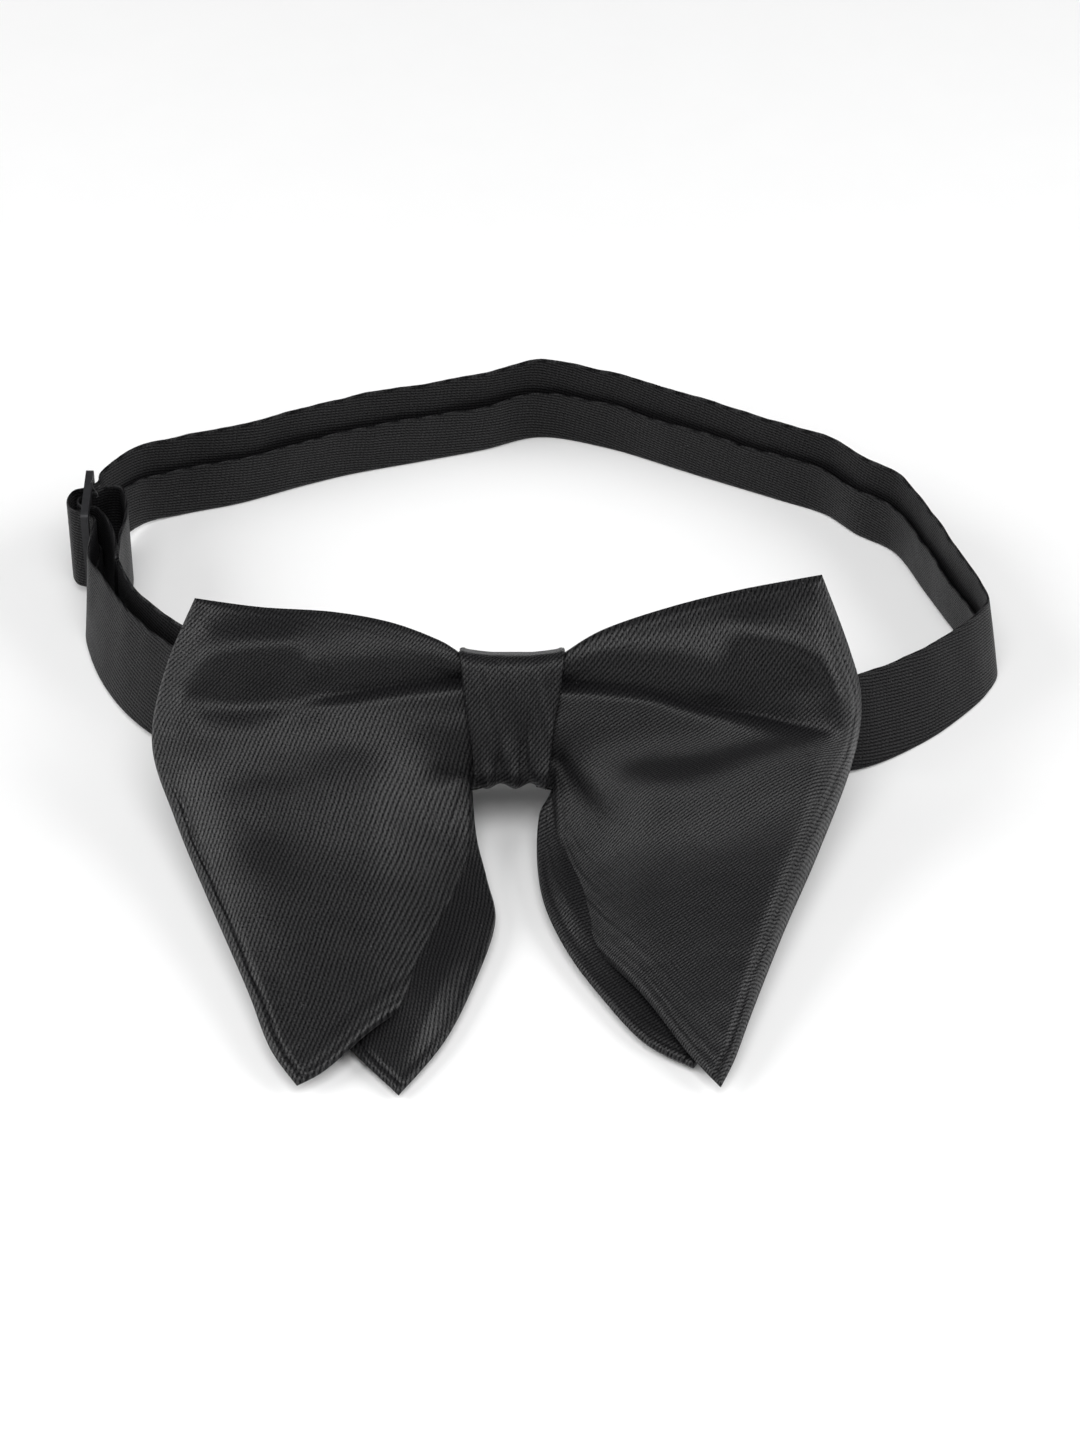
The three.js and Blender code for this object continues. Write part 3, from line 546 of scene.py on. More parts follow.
def seam_groove(wing, seed, seam_from):
    """Where the face panel meets the rolled edge of the back panel: a narrow sunk line."""
    along = wing.v * 120 + wing.u * 70
    place = 1.75 + 0.22 * ripple(along, seed, 26)
    pull = 1 + 0.35 * ripple(along, seed + 1, 9)
    outer = bump(wing.to_outer, place, 0.34) * pull * smooth(wing.v, seam_from, seam_from + 0.12)
    top = 0.06 * bump(wing.to_top, place, 0.4)
    inner = 0.2 * bump(wing.to_inner, place, 0.4)
    return 0.62 * np.maximum(outer, np.maximum(top, inner))


def sewn_line(wing):
    """Nothing on the sewn edge itself, growing to 1 just inside it."""
    return smooth(wing.to_edge, -0.001, 0.25)


def face_height(wing, puff, seed, relief, seam_from, least, shoulders=EVEN_SHOULDERS):
    """How high the face panel stands: padding, relief, the seam's groove and the small puckers beside it."""
    body = edge_round(wing.to_edge) + wing.fullness(puff, shoulders) + relief
    pucker = 0.1 * ripple(wing.v * 130 + 3 * wing.u, seed + 5, 7.5) * bump(wing.to_edge, 3.2, 2.6)
    height = body - seam_groove(wing, seed, seam_from) + pucker * smooth(wing.u, 0.02, 0.2)
    return np.maximum(height, least) * sewn_line(wing)


def back_height(wing, puff):
    return (edge_round(wing.to_edge) + wing.fullness(puff)) * sewn_line(wing)


def tucked(values, keep):
    """Adds columns that carry a wing's surface on into the knot."""
    first = values[:1]
    extra = [first * (1 - t) + keep * t for t in (1.0, 0.75, 0.5, 0.25)]
    return np.concatenate(extra + [values], axis=0)


def build_wing(name, wing, face, back, ribs, painted_fold_shade=None):
    """The face panel and the back panel of a wing as two closed shells that meet along the edge."""
    tucks = []
    for step in np.linspace(ROOT_TUCK, ROOT_TUCK / 4, 4):
        column = wing.flat[:1].copy()
        column[..., 0] -= wing.side * step
        column[..., 1] *= 1 - 0.05 * step / ROOT_TUCK
        tucks.append(column)
    flat = np.concatenate(tucks + [wing.flat], axis=0)
    front = tucked(face, np.minimum(face[:1], 1.7) * 0.9)
    rear = tucked(back, np.minimum(back[:1], 0.9) * 0.9)
    # painted shade in the pleats: none unless given, carried on into the tucked columns
    if painted_fold_shade is None:
        painted_fold_shade = np.zeros_like(face)
    shaded = np.concatenate([painted_fold_shade[:1]] * 4 + [painted_fold_shade])
    for part, outer, sign, shade in (("face_panel", front, 1.0, shaded), ("back_panel", rear, -1.0, None)):
        skin = np.minimum(SKIN, np.maximum(outer - 0.02, 0.01))
        top = wing.place(flat, sign * outer)
        under = wing.place(flat, sign * (outer - skin))
        piece = closed_shell(f"{name}_{part}_cloth", top, under, ribs_bent(flat, *ribs), shade)
        dress(piece, satin)
        hidden = [f"{name}_interlining"] if part == "back_panel" else []
        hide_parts(f"{name}_{part}", *hidden)
        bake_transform(piece)


def closed_shell(name, top, under, flat, crease=None):
    """A sheet with a little thickness: two grids walled in around their rim."""
    rows, columns = top.shape[:2]
    count = rows * columns
    vertices = np.concatenate([top.reshape(-1, 3), under.reshape(-1, 3)])
    faces = grid_faces(rows, columns) + grid_faces(rows, columns, flip=True, start=count)
    rim = list(range(columns))
    rim += [i * columns + columns - 1 for i in range(1, rows)]
    rim += [(rows - 1) * columns + j for j in range(columns - 2, -1, -1)]
    rim += [i * columns for i in range(rows - 2, 0, -1)]
    for a, b in zip(rim, rim[1:] + rim[:1]):
        faces.append([a + count, b + count, b, a])
    uvs = np.concatenate([flat.reshape(-1, 2)] * 2)
    # the crease values are painted shade, laid on both grids
    if crease is not None:
        crease = np.concatenate([crease.ravel()] * 2)
    return outward_normals(make_object(name, vertices, faces, uvs, crease=crease))


def pleat(wing, line, depth, above, below, fade):
    """A pleat that runs out from the knot: a slope down to it on its upper side, a rounded lip below."""
    gap, along, side = wing.line_off(line)
    width = np.where(side * wing.side < 0, above, below)
    reach = 1 - smooth(along, fade[0], fade[1])
    return -depth * reach * np.exp(-((gap / width) ** 1.5))


def fold_shade(wing, line, fade, width=0.8):
    """How deep in the shade of a pleat the cloth lies: 1 in its fold, 0 away from it."""
    gap, along, _ = wing.line_off(line)
    return np.exp(-((gap / width) ** 2)) * (1 - smooth(along, fade[0], fade[1]))


def relaxed(values, times=24):
    """Evens out a field on a wing's grid, as cloth does not hold small kinks."""
    for _ in range(times):
        wide = np.pad(values, 1, mode="edge")
        values = (4 * values + wide[:-2, 1:-1] + wide[2:, 1:-1] + wide[1:-1, :-2] + wide[1:-1, 2:]) / 8
    return values


def hollow(wing, centre, size, depth, turn=0.0):
    """A soft oval dip, or a swell when the depth is negative, in the flat wing's coordinates."""
    c, s = math.cos(math.radians(turn)), math.sin(math.radians(turn))
    dx, dy = wing.flat[..., 0] - centre[0], wing.flat[..., 1] - centre[1]
    x, y = c * dx + s * dy, -s * dx + c * dy
    return -depth * np.exp(-((x / size[0]) ** 2) - (y / size[1]) ** 2)


def gathers(wing, start):
    """Four small folds that fan out from the knot and die away."""
    fan = np.sin(2 * math.pi * (wing.v * 4.0) + 1.1 * np.sin(5 * wing.v + start))
    near = np.exp(-np.abs(np.abs(wing.flat[..., 0]) - 8.5) / 9.0)
    return 0.3 * fan * near * smooth(wing.to_edge, 0.5, 3.5)


def ridge(wing, line, height, above, below):
    """A long swell along a line, or a valley when the height is negative."""
    gap, _, side = wing.line_off(line)
    width = np.where(side * wing.side < 0, above, below)
    return height * np.exp(-((gap / width) ** 2))


def beyond_knot(wing):
    """Nothing under the knot wrap, growing to 1 a little way out from it."""
    return smooth(np.abs(wing.flat[..., 0]), *KNOT_SHADOW)


def left_front_relief(wing):
    """The folds of the left front wing, and how deep in the shade of its pleats the cloth lies."""
    soft = ridge(wing, [(-40, -4), (-49, -1.8), (-56, -2), (-60, -3)], -3.4, 6.0, 2.2)
    soft += hollow(wing, (-25, -9.8), (11, 3.2), 0.7, 4)
    soft += ridge(wing, [(-61.8, -3), (-60.6, -8.5), (-56.5, -13), (-49, -15.6), (-42, -16.4)], 2.6, 3.2, 3.2)
    soft += ridge(wing, [(-37, -11), (-40, -5)], 1.7, 3, 3)
    soft += ridge(wing, [(-32, 15), (-20, 13), (-4, 12)], 3.2, 17, 12)
    soft += ridge(wing, [(-42, 2), (-42, 15), (-44, 28)], -1.7, 6, 6)
    soft += hollow(wing, (-34, 52), (16, 20), 1.0, 10)
    soft += gathers(wing, 0.7)
    soft += 0.15 * ripple(wing.flat[..., 0] * 0.6 + wing.flat[..., 1], 11, 60, 2)
    main = [(-9.8, -7), (-21, -6), (-30.3, -4.7), (-38, -3.4), (-42, -1.8)]
    short = [(-8.8, 11), (-13, 12), (-17.3, 13.9), (-20.8, 17.6)]
    sharp = pleat(wing, main, 2.6, 3.6, 1.0, (20, 33)) + pleat(wing, short, 1.2, 1.8, 1.0, (2, 11))
    # painted shade: how deep in the pleats' shade the cloth lies, used to dim its reflection there
    shade = np.maximum(fold_shade(wing, main, (16, 33)), 0.7 * fold_shade(wing, short, (3, 11)))
    return relaxed(soft) * beyond_knot(wing) + relaxed(sharp, 2), shade


def right_front_relief(wing):
    """The folds of the right front wing, and how deep in the shade of its pleats the cloth lies."""
    soft = hollow(wing, (46, -6), (5, 5.5), 2.0)
    soft += hollow(wing, (55, -7), (5, 4.5), 1.1)
    soft += hollow(wing, (24, -9.8), (11, 3.2), 0.7, 4)
    soft += ridge(wing, [(36.5, -12), (38, -6)], 0.9, 3, 3)
    soft += ridge(wing, [(44, -18), (53, -15.6), (58.8, -10.5), (61, -4)], 2.4, 3.0, 3.0)
    soft += ridge(wing, [(11, 12), (20, 17), (33, 18.5), (44, 15), (54, 10.5)], 4.3, 7.0, 7.5)
    soft += gathers(wing, 2.3)
    soft += 0.15 * ripple(wing.flat[..., 0] * 0.6 - wing.flat[..., 1], 17, 60, 2)
    main = [(9.8, -6.2), (16.7, -5.9), (26.2, -4.9), (35.2, -2.1), (45, 0.1), (54.2, 2.5), (60, 3.8)]
    short = [(8.8, 8.2), (14.8, 17), (20, 24)]
    sharp = pleat(wing, main, 2.6, 3.8, 1.0, (42, 54)) + pleat(wing, short, 1.5, 1.8, 2.2, (6, 18))
    # painted shade: how deep in the pleats' shade the cloth lies, used to dim its reflection there
    shade = np.maximum(fold_shade(wing, main, (40, 54)), 0.7 * fold_shade(wing, short, (5, 18), 1.2))
    return relaxed(soft) * beyond_knot(wing) + relaxed(sharp, 2), shade


def front_wing(name, outline, relief, seed, ribs, seam_from, shoulders):
    wing = Wing(outline, FRONT_DRAPE, ROOT_SINK)
    # the relief also gives the painted shade of its pleats
    shape, painted_fold_shade = relief(wing)
    shape = shape * smooth(wing.to_edge, 0.6, 6)
    face = face_height(wing, FRONT_FACE_PUFF, seed, shape, seam_from, 0.06, shoulders)
    build_wing(name, wing, face, back_height(wing, FRONT_BACK_PUFF), ribs, painted_fold_shade)


def rear_wing(name, outline, seed, ribs, swell_at, swell_height):
    wing = Wing(outline, REAR_DRAPE)
    wave = 0.18 * ripple(wing.flat[..., 0] + 0.4 * wing.flat[..., 1], seed, 30) * smooth(wing.to_edge, 1, 10)
    wave += hollow(wing, swell_at, (6.5, 17), -swell_height) * smooth(wing.to_edge, 0.5, 5)
    face = face_height(wing, REAR_FACE_PUFF, seed, wave, 0.0, 0.05)
    build_wing(name, wing, face, back_height(wing, REAR_BACK_PUFF), ribs)


# ---- the knot ----

KNOT_RIB_ANGLE = 51
WAIST_RIB_ANGLE = 40


def in_knot(across, up, forward):
    """A point from the middle of the knot's hollow: across the bow, up along the knot, forward."""
    s, c = math.sin(KNOT_LEAN), math.cos(KNOT_LEAN)
    y, z = KNOT_MIDDLE[0] + up * s - forward * c, KNOT_MIDDLE[1] + up * c + forward * s
    return np.stack(np.broadcast_arrays(across, y, z), axis=-1)


def knot_outline():
    """Points round the knot in its side view: up and forward, rounded at its four corners."""
    half, radius = KNOT_HEIGHT / 2, 3.2
    ring = []
    corners = [(half - radius, KNOT_FRONT - radius, 0), (-half + radius, KNOT_FRONT - radius, 90),
               (-half + radius, -KNOT_BACK + radius, 180), (half - radius, -KNOT_BACK + radius, 270)]
    for up, forward, start in corners:
        for degrees in np.linspace(0, 90, 10):
            a = math.radians(start + degrees)
            ring.append((up + radius * math.cos(a), forward + radius * math.sin(a)))
    closed = np.array(ring + ring[:1])
    walk = lengths_along(closed)
    even = np.linspace(0, walk[-1], 221)[:-1]
    return np.stack([np.interp(even, walk, closed[:, k]) for k in (0, 1)], axis=1), even


def knot_wrap():
    """A strip folded in at both its sides and wrapped round the bow, creased on its front."""
    ring, walk = knot_outline()
    ahead, behind = np.roll(ring, -1, axis=0), np.roll(ring, 1, axis=0)
    tangent = ahead - behind
    tangent /= np.linalg.norm(tangent, axis=1)[:, None]
    out = np.stack([-tangent[:, 1], tangent[:, 0]], axis=1)
    if np.sum(out * ring) < 0:
        out = -out
    section = knot_section()
    up, forward = ring[:, 0], ring[:, 1]
    share = np.clip(up / KNOT_HEIGHT + 0.5, 0, 1)
    half = KNOT_HALF_BOTTOM + (KNOT_HALF_TOP - KNOT_HALF_BOTTOM) * share
    in_front = smooth(forward, 2.5, KNOT_FRONT - 0.3)
    pinch = 0.55 * bump(up, -7.5, 5.0) * in_front
    right = half - 0.5 * bump(up, -4, 5) * in_front + 0.12 * ripple(walk, 31, 17)
    left = half - pinch * 0.6 + 0.12 * ripple(walk, 33, 15)
    place, height, outside = (section[None, :, k] for k in range(3))
    across = place * np.where(place > 0, right[:, None], left[:, None])
    face = outside * in_front[:, None]
    up, forward = up[:, None], forward[:, None]
    deep, shallow = crease(across, up, 2.4, -7.5, 5.5, 1.7), crease(across, up, -2.6, -9.5, 4.5, 1.1)
    lift = height + face * (deep + shallow)
    lift = lift + face * 0.3 * ripple(across * 0.8 + up * 0.2, 41, 6.5)
    lift = lift + outside * 0.6 * np.sin(1.15 * across + 0.8) * bump(up, -11.8, 3.0)
    lift = lift - outside * 1.1 * (1 - (across / 10.5) ** 2) * bump(up, 13, 3)
    lift = lift + face * 0.5 * bump(across, 0.6 + 0.05 * up, 2.6) * smooth(up, -6, 6)
    lift = lift + face * 0.7 * bump(across, -0.4, 1.6) * bump(up, -7, 4)
    points = in_knot(across, up + out[:, :1] * lift, forward + out[:, 1:] * lift)
    flat = np.stack(np.broadcast_arrays(across, walk[:, None]), axis=-1)
    faces = grid_faces(len(ring), len(section), wrap_rows=True, wrap_columns=True)
    uvs = ribs_at(flat, KNOT_RIB_ANGLE).reshape(-1, 2)
    return outward_normals(make_object("knot_wrap_cloth", points.reshape(-1, 3), faces, uvs))


def knot_section():
    """Across the strip: [share of the half width, height over its middle line, 1 on the outside]."""
    outside = []
    for s in np.linspace(-0.94, 0.94, 63):
        outside.append((s, -0.02 + 0.16 * math.exp(-((abs(s) - 0.92) / 0.035) ** 2), 1.0))
    fold = [(0.965, -0.05, 0.7), (0.99, -0.2, 0.4), (1.0, -0.45, 0.2), (0.992, -0.72, 0.0),
            (0.965, -0.9, 0.0)]
    inside = [(s, -0.98, 0.0) for s in np.linspace(0.9, -0.9, 12)]
    other = [(-s, h, k) for s, h, k in reversed(fold)]
    return np.array(outside + fold + inside + other)


def crease(across, up, where, centre, length, depth):
    """A short upright crease, deeper on one side."""
    lean = where + 0.12 * (up - centre)
    off = across - lean
    profile = np.where(off > 0, np.exp(-off / 0.55), np.exp(off / 1.7))
    return -depth * profile * bump(up, centre, length)


def gathered_waist(name, forward_from, forward_to, folds):
    """The bow's middle, pleated where the binding pulls it in."""
    rows, columns = 40, 12
    up = np.linspace(10.6, -10.6, rows)[:, None]
    side = np.linspace(-1, 1, columns)[None, :]
    half = 6.1 + 0.09 * up
    middle, depth = (forward_from + forward_to) / 2, (forward_to - forward_from) / 2
    wave = 0.28 * np.sin(folds * 2 * math.pi * up / 21.2) * (0.4 + 0.6 * np.abs(side))
    shell = depth - 0.35 + wave
    across = side * half
    top = in_knot(across, up + 0 * side, middle + shell)
    under = in_knot(across, up + 0 * side, middle - shell)
    flat = np.stack(np.broadcast_arrays(across, up), axis=-1)
    return closed_shell(name, top, under, ribs_at(flat, WAIST_RIB_ANGLE))


# ---- the neckband ----

def strap_frames(path, spacing):
    """Foot, way to the neck side, way up and distance along, for a strip on its edge."""
    p = path_through(path, spacing)
    along = np.gradient(p[:, :3], axis=0)
    along[:, 2] = 0
    along /= np.linalg.norm(along, axis=1)[:, None]
    inward = np.stack([-along[:, 1], along[:, 0], 0 * along[:, 0]], axis=1)
    lean = np.radians(p[:, 3])[:, None]
    straight_up = np.array([0.0, 0.0, 1.0])
    up = inward * np.sin(lean) + straight_up * np.cos(lean)
    inner = inward * np.cos(lean) - straight_up * np.sin(lean)
    foot = p[:, :3].copy()
    foot[:, 2] = np.maximum(foot[:, 2], 0)
    return foot, inner, up, lengths_along(p)


PLY = 0.62
LAP_PLY = 0.5
LAP_CLEARANCE = 0.12
FOLD_TOP = 0.9
BAND_RIB_ANGLE = 8
BAND_SEED = 51
SWAY = 0.35


def strap_section(lap=True):
    """Closed outline of the folded strip: [depth, height, share of the lap's standoff, flat place].

    The cloth is folded up at the foot; the lap stands off the strip more and more towards its top.
    """
    half, width, lap_height = PLY / 2, BAND_WIDTH, LAP_HEIGHT
    lap_in = half + LAP_CLEARANCE
    lap_out = lap_in + LAP_PLY
    turn = np.linspace(0, math.pi, 7)[1:-1]
    points = [(-half, h, 0, h) for h in np.linspace(FOLD_TOP, width - 0.5, 26)]
    points += [(-half * math.cos(a), width - 0.5 + 0.5 * math.sin(a), 0, width + 0.3 * a) for a in turn]
    if not lap:
        points += [(half, h, 0, 2 * width - h) for h in np.linspace(width - 0.5, FOLD_TOP, 26)]
        points += [(half * math.cos(a), FOLD_TOP - 0.6 * math.sin(a), 0, 2 * width + a) for a in turn]
        return np.array(points)
    points += [(half, h, 0, 2 * width - h) for h in np.linspace(width - 0.5, 1.0, 20)]
    rise = [(h, (h / lap_height) ** 0.8) for h in np.linspace(FOLD_TOP, lap_height - 0.35, 18)]
    points += [(lap_in, h, share, 2 * width + h) for h, share in rise]
    for a in turn:
        depth = lap_in + LAP_PLY / 2 - LAP_PLY / 2 * math.cos(a)
        points.append((depth, lap_height - 0.35 + 0.35 * math.sin(a), 1, 2 * width + lap_height))
    points += [(lap_out, h, share, 3 * width + lap_height - h) for h, share in reversed(rise)]
    middle, reach = (lap_out - half) / 2, (lap_out + half) / 2
    for a in np.linspace(0, math.pi, 9)[1:-1]:
        points.append((middle + reach * math.cos(a), FOLD_TOP - 0.85 * math.sin(a), 0, 4 * width + a))
    return np.array(points)


def sweep_strap(name, frames, section, seed, calm, standoff=None, squeeze=None, ends=(True, True)):
    """Carries a section along the frames, with the small waves that cloth on its edge takes on."""
    foot, inner, up, along = frames
    depth, height, share, flat = (section[None, :, k] for k in range(4))
    s = along[:, None]
    free = SWAY * calm(s)
    wave = free * ripple(s + 0.25 * height, seed, 34) * (height / BAND_WIDTH) ** 1.5
    edge = 0.35 * free * ripple(s, seed + 3, 15) * smooth(height, 15, 20)
    lap_edge = 0.7 * free * ripple(s, seed + 7, 21) * share
    tall = height + edge + lap_edge
    side = (depth + share * (standoff(s) if standoff else 0.0)) * (squeeze(s) if squeeze else 1.0) + wave
    points = foot[:, None] + inner[:, None] * side[..., None] + up[:, None] * tall[..., None]
    sunk = np.minimum(points[..., 2].min(axis=1), 0.02 + foot[:, 2])
    points[..., 2] += (foot[:, 2] - sunk)[:, None]
    uvs = ribs_at(np.stack(np.broadcast_arrays(s, flat), axis=-1), BAND_RIB_ANGLE)
    vertices = points.reshape(-1, 3)
    count = section.shape[0]
    faces = grid_faces(len(foot), count, wrap_columns=True)
    if ends[0]:
        faces.append(list(range(count)))
    if ends[1]:
        faces.append([len(vertices) - 1 - k for k in range(count)])
    return outward_normals(make_object(name, vertices, faces, uvs.reshape(-1, 2)))


def beside_slide(outward, forward, lean=0.0):
    return (SLIDE_CENTRE[0] - outward, SLIDE_CENTRE[1] - forward, SLIDE_LIFT, lean)


def beside_fitting(x, behind):
    lean = math.radians(FITTING_LEAN)
    y, z = FITTING_FOOT[0] + behind * math.cos(lean), FITTING_FOOT[1] - behind * math.sin(lean)
    return (x, y, z, FITTING_LEAN)


HOOK_SLOT_X = EYE_X + (FITTING_PLATE - FITTING_BAR - FITTING_SLOT) / 2 - TONGUE_LENGTH
HOOK_BAR_END = HOOK_SLOT_X - FITTING_SLOT / 2
EYE_SLOT_X = EYE_X + EYE_WINDOW / 2 + FITTING_BAR + FITTING_SLOT / 2
WRAP_RADIUS = FITTING_PLATE / 2 + 0.3 + 0.5


def round_bar(start, end, turn):
    """Stations of a strip along one straight run, round a bar and back along the next run."""
    foot_a, inner_a, up_a = (start[k][-1] for k in range(3))
    centre = (foot_a + end[0][0]) / 2
    reach, side = np.array(turn[:3]) - centre, foot_a - centre
    feet, inners = [], []
    for degrees in range(15, 180, 15):
        a = math.radians(degrees)
        feet.append(centre + side * math.cos(a) + reach * math.sin(a))
        angle = a * np.sign(reach[0])
        turned = inner_a * math.cos(angle) + np.cross(up_a, inner_a) * math.sin(angle)
        inners.append(turned + up_a * (up_a @ inner_a) * (1 - math.cos(angle)))
    middle = (feet, inners, [up_a] * len(feet))
    return [np.concatenate([start[k], middle[k], end[k]]) for k in range(3)]


def band_route():
    """The whole neckband: round the neck, over the slide's centre bar and out to the hook."""
    route = list(STRAP_PATH)
    over_bar = [(-3.8, -12.2), (-1.9, -8.8), (-1.8, -6.4), (0.2, -4.3), (3, -3.1), BAR_APEX, (3, 2.7),
                (0.2, 3.9), (-1.8, 5.9), (-1.8, 8), (-1.7, 10)]
    route += [beside_slide(*place) for place in over_bar]
    route += [(*HOOK_SIDE, 0.6, 5), (-85.2, 40.5, 0.4, 11), (-81.8, 31, 0.3, 16), (-75.4, 20, 0.8, 19),
              (-66, 10.2, 1.6, 22), (-54, 2.8, 3.6, 24)]
    route += [beside_fitting(HOOK_BAR_END - back, HOOK_SETBACK - WRAP_RADIUS) for back in (5, 2.5, 0)]
    return route


def return_route():
    """From the hook back along the inner side, to beside the slide."""
    route = [beside_fitting(HOOK_BAR_END - back, HOOK_SETBACK + WRAP_RADIUS) for back in (0, 2.5, 5)]
    route += [(-54, 7.6, 3.2, 24), (-63.4, 16.4, 1.6, 19), (-71.6, 27, 1, 10), (-77, 37.6, 0.8, 4.5),
              (-79.3, 45.4, 0.8, 2)]
    return [(x, y, z, -lean) for x, y, z, lean in route]


def sewn_route():
    """From the inner run, round the slide's centre bar and back on itself: the band's own end."""
    beside = [(-7.4, 10.8), (-8, 6), (-7.7, 0), (-6.2, -4.6), (-3.6, -4.4), (-1.4, -2.9), (0.5, -2),
              (1.8, -0.7), (1.7, 1), (0.3, 2), (-1.8, 2.2), (-3.5, 4.4), (-4.6, 8, 1.5), (-5.5, 13, 3),
              (-5.9, 18.4, 4)]
    return [(-78.6, 42.4, 0.8, -3), (-79.3, 45.4, 0.8, -2)] + [beside_slide(*place) for place in beside]


def cut(frames, start, end):
    return tuple(part[start:end] for part in frames)


def station_near(frames, x, y, after=0):
    reach = np.hypot(frames[0][after:, 0] - x, frames[0][after:, 1] - y)
    return after + int(np.argmin(reach))


def neckband(cloth):
    """The long strip of the neckband, in the pieces that the slide and the hinge divide it into."""
    frames = strap_frames(band_route(), 0.8)
    last_main = station_near(frames, *STRAP_PATH[-1][:2])
    apex = station_near(frames, *beside_slide(*BAR_APEX)[:2], after=last_main)
    hook_side = station_near(frames, *HOOK_SIDE, after=apex)
    at_bend = frames[3][station_near(frames, *RIGHT_BEND)]
    at_slide = frames[3][apex]
    hook_turn = frames[3][-1]

    def standoff(s):
        behind_knot = 0.1 + 0.25 * smooth(s, 15, 60)
        wander = 0.3 * ripple(s, 61, 46) * smooth(s, at_bend, at_bend + 20)
        back = 0.5 * smooth(s, at_bend - 12, at_bend + 6) + wander
        flat = 1 - smooth(np.abs(s - at_slide), 16, 30)
        leaning = 2.2 * smooth(s, at_slide + 17, at_slide + 28)
        shape = (behind_knot + back) * (1 - 0.85 * flat) + leaning
        return shape * (1 - smooth(s, hook_turn - 34, hook_turn - 6))

    def calm(s):
        at_ends = (1 - smooth(s, 14, 34)) + (1 - smooth(np.abs(s - at_slide), 20, 36))
        return 1 - np.clip(at_ends + smooth(s, hook_turn - 30, hook_turn - 10), 0, 1)

    def squeeze(s):
        return 1 - 0.45 * smooth(s, hook_turn - 16, hook_turn - 7)

    section = strap_section()
    def stretch(name, first, last, ends=(False, False)):
        return sweep_strap(name, cut(frames, first, last + 1), section, BAND_SEED, calm, standoff, ends=ends)

    main = stretch("neckband_strap", 0, last_main, (True, False))
    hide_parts("right_front_band", "back_band", "band_interlining")
    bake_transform(main)
    before = stretch("band_before_slide_bar", last_main, apex)
    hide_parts("loop_over_slide_bar")
    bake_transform(before)
    after = stretch("band_after_slide_bar", apex, hook_side)
    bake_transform(after)

    outward = cut(frames, hook_side, None)
    back = strap_frames(return_route(), 0.8)
    joined = round_bar(outward, back, beside_fitting(HOOK_BAR_END + WRAP_RADIUS, HOOK_SETBACK))
    walk = outward[3][0] + lengths_along(joined[0])
    end = walk[-1]

    def doubled_standoff(s):
        inner_run = 0.5 * smooth(s, hook_turn + 12, hook_turn + 34) + 2.2 * smooth(s, end - 34, end - 14)
        return np.where(s < hook_turn, standoff(s), inner_run)

    def doubled_calm(s):
        inner_run = smooth(s, hook_turn + 12, hook_turn + 30) * (1 - smooth(s, end - 12, end))
        return np.where(s < hook_turn, calm(s), inner_run)

    def doubled_squeeze(s):
        inner_run = 1 - 0.45 * (1 - smooth(s, hook_turn + 8, hook_turn + 18))
        return np.where(s < hook_turn, squeeze(s), inner_run)

    doubled = sweep_strap("doubled_band_run", (*joined, walk), section, BAND_SEED, doubled_calm,
                          doubled_standoff, doubled_squeeze, ends=(False, True))
    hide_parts("doubled_band")
    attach(doubled, "neckband")

    sewn_frames = strap_frames(sewn_route(), 0.6)
    tail = sewn_frames[3][-1]

    def sewn_calm(s):
        return 0.25 * smooth(s, 4, 12) * (1 - smooth(s, tail - 10, tail))

    def sewn_squeeze(s):
        """Thin where it leaves the inner run, thick where its end is turned in for the hem."""
        return 0.7 + 0.3 * smooth(s, 2.5, 6) + 0.5 * smooth(s, tail - 4.5, tail - 3.8)

    sewn = sweep_strap("sewn_band_end_cloth", sewn_frames, strap_section(lap=False), 77, sewn_calm,
                       squeeze=sewn_squeeze)
    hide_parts("sewn_band_end")
    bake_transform(sewn)
    for piece in (main, before, after, doubled, sewn):
        dress(piece, cloth)


def short_front_end(cloth):
    """The front end that carries the eye: from the knot, round the eye's bar and back."""
    bar_end = EYE_SLOT_X + FITTING_SLOT / 2
    outward = strap_frames([(x, y, z, -lean) for x, y, z, lean in (
        (-0.6, *KNOT_FOOT, 35), (-12, *KNOT_FOOT, 35), (-17, -3.9, 9, 33),
        beside_fitting(bar_end + 2, -WRAP_RADIUS), beside_fitting(bar_end, -WRAP_RADIUS))], 0.6)
    back = strap_frames([beside_fitting(bar_end, WRAP_RADIUS), beside_fitting(bar_end + 2, WRAP_RADIUS),
                         (-17, -1.8, 7.7, 32), (-14.2, -2.8, 8.4, 33)], 0.6)
    joined = round_bar(outward, back, beside_fitting(bar_end - WRAP_RADIUS, 0))
    piece = sweep_strap("short_front_end", (*joined, lengths_along(joined[0])), strap_section(lap=False), 83,
                        calm=lambda s: 0 * s)
    fit(piece, cloth, "satin_twill", "knot", "left_front_band")


def bar_tack(name, node, body, centre, across, up):
    """A close zigzag of sewing thread in place of the CAD part's block of stitches."""
    length, turns = 14.0, 34
    centre, across, up = (np.array(v, float) for v in (centre, across, up))
    k = np.arange(2 * turns + 1)
    rise = (k / (2 * turns) - 0.5) * length
    swing = np.where(k % 2 == 0, 0.5, -0.5)
    path = centre + swing[:, None] * across + rise[:, None] * up
    fit(tube(name, path, 0.13), thread_finish, "thread", body, node)


def leaning_up(lean):
    return (0, math.sin(lean), math.cos(lean))


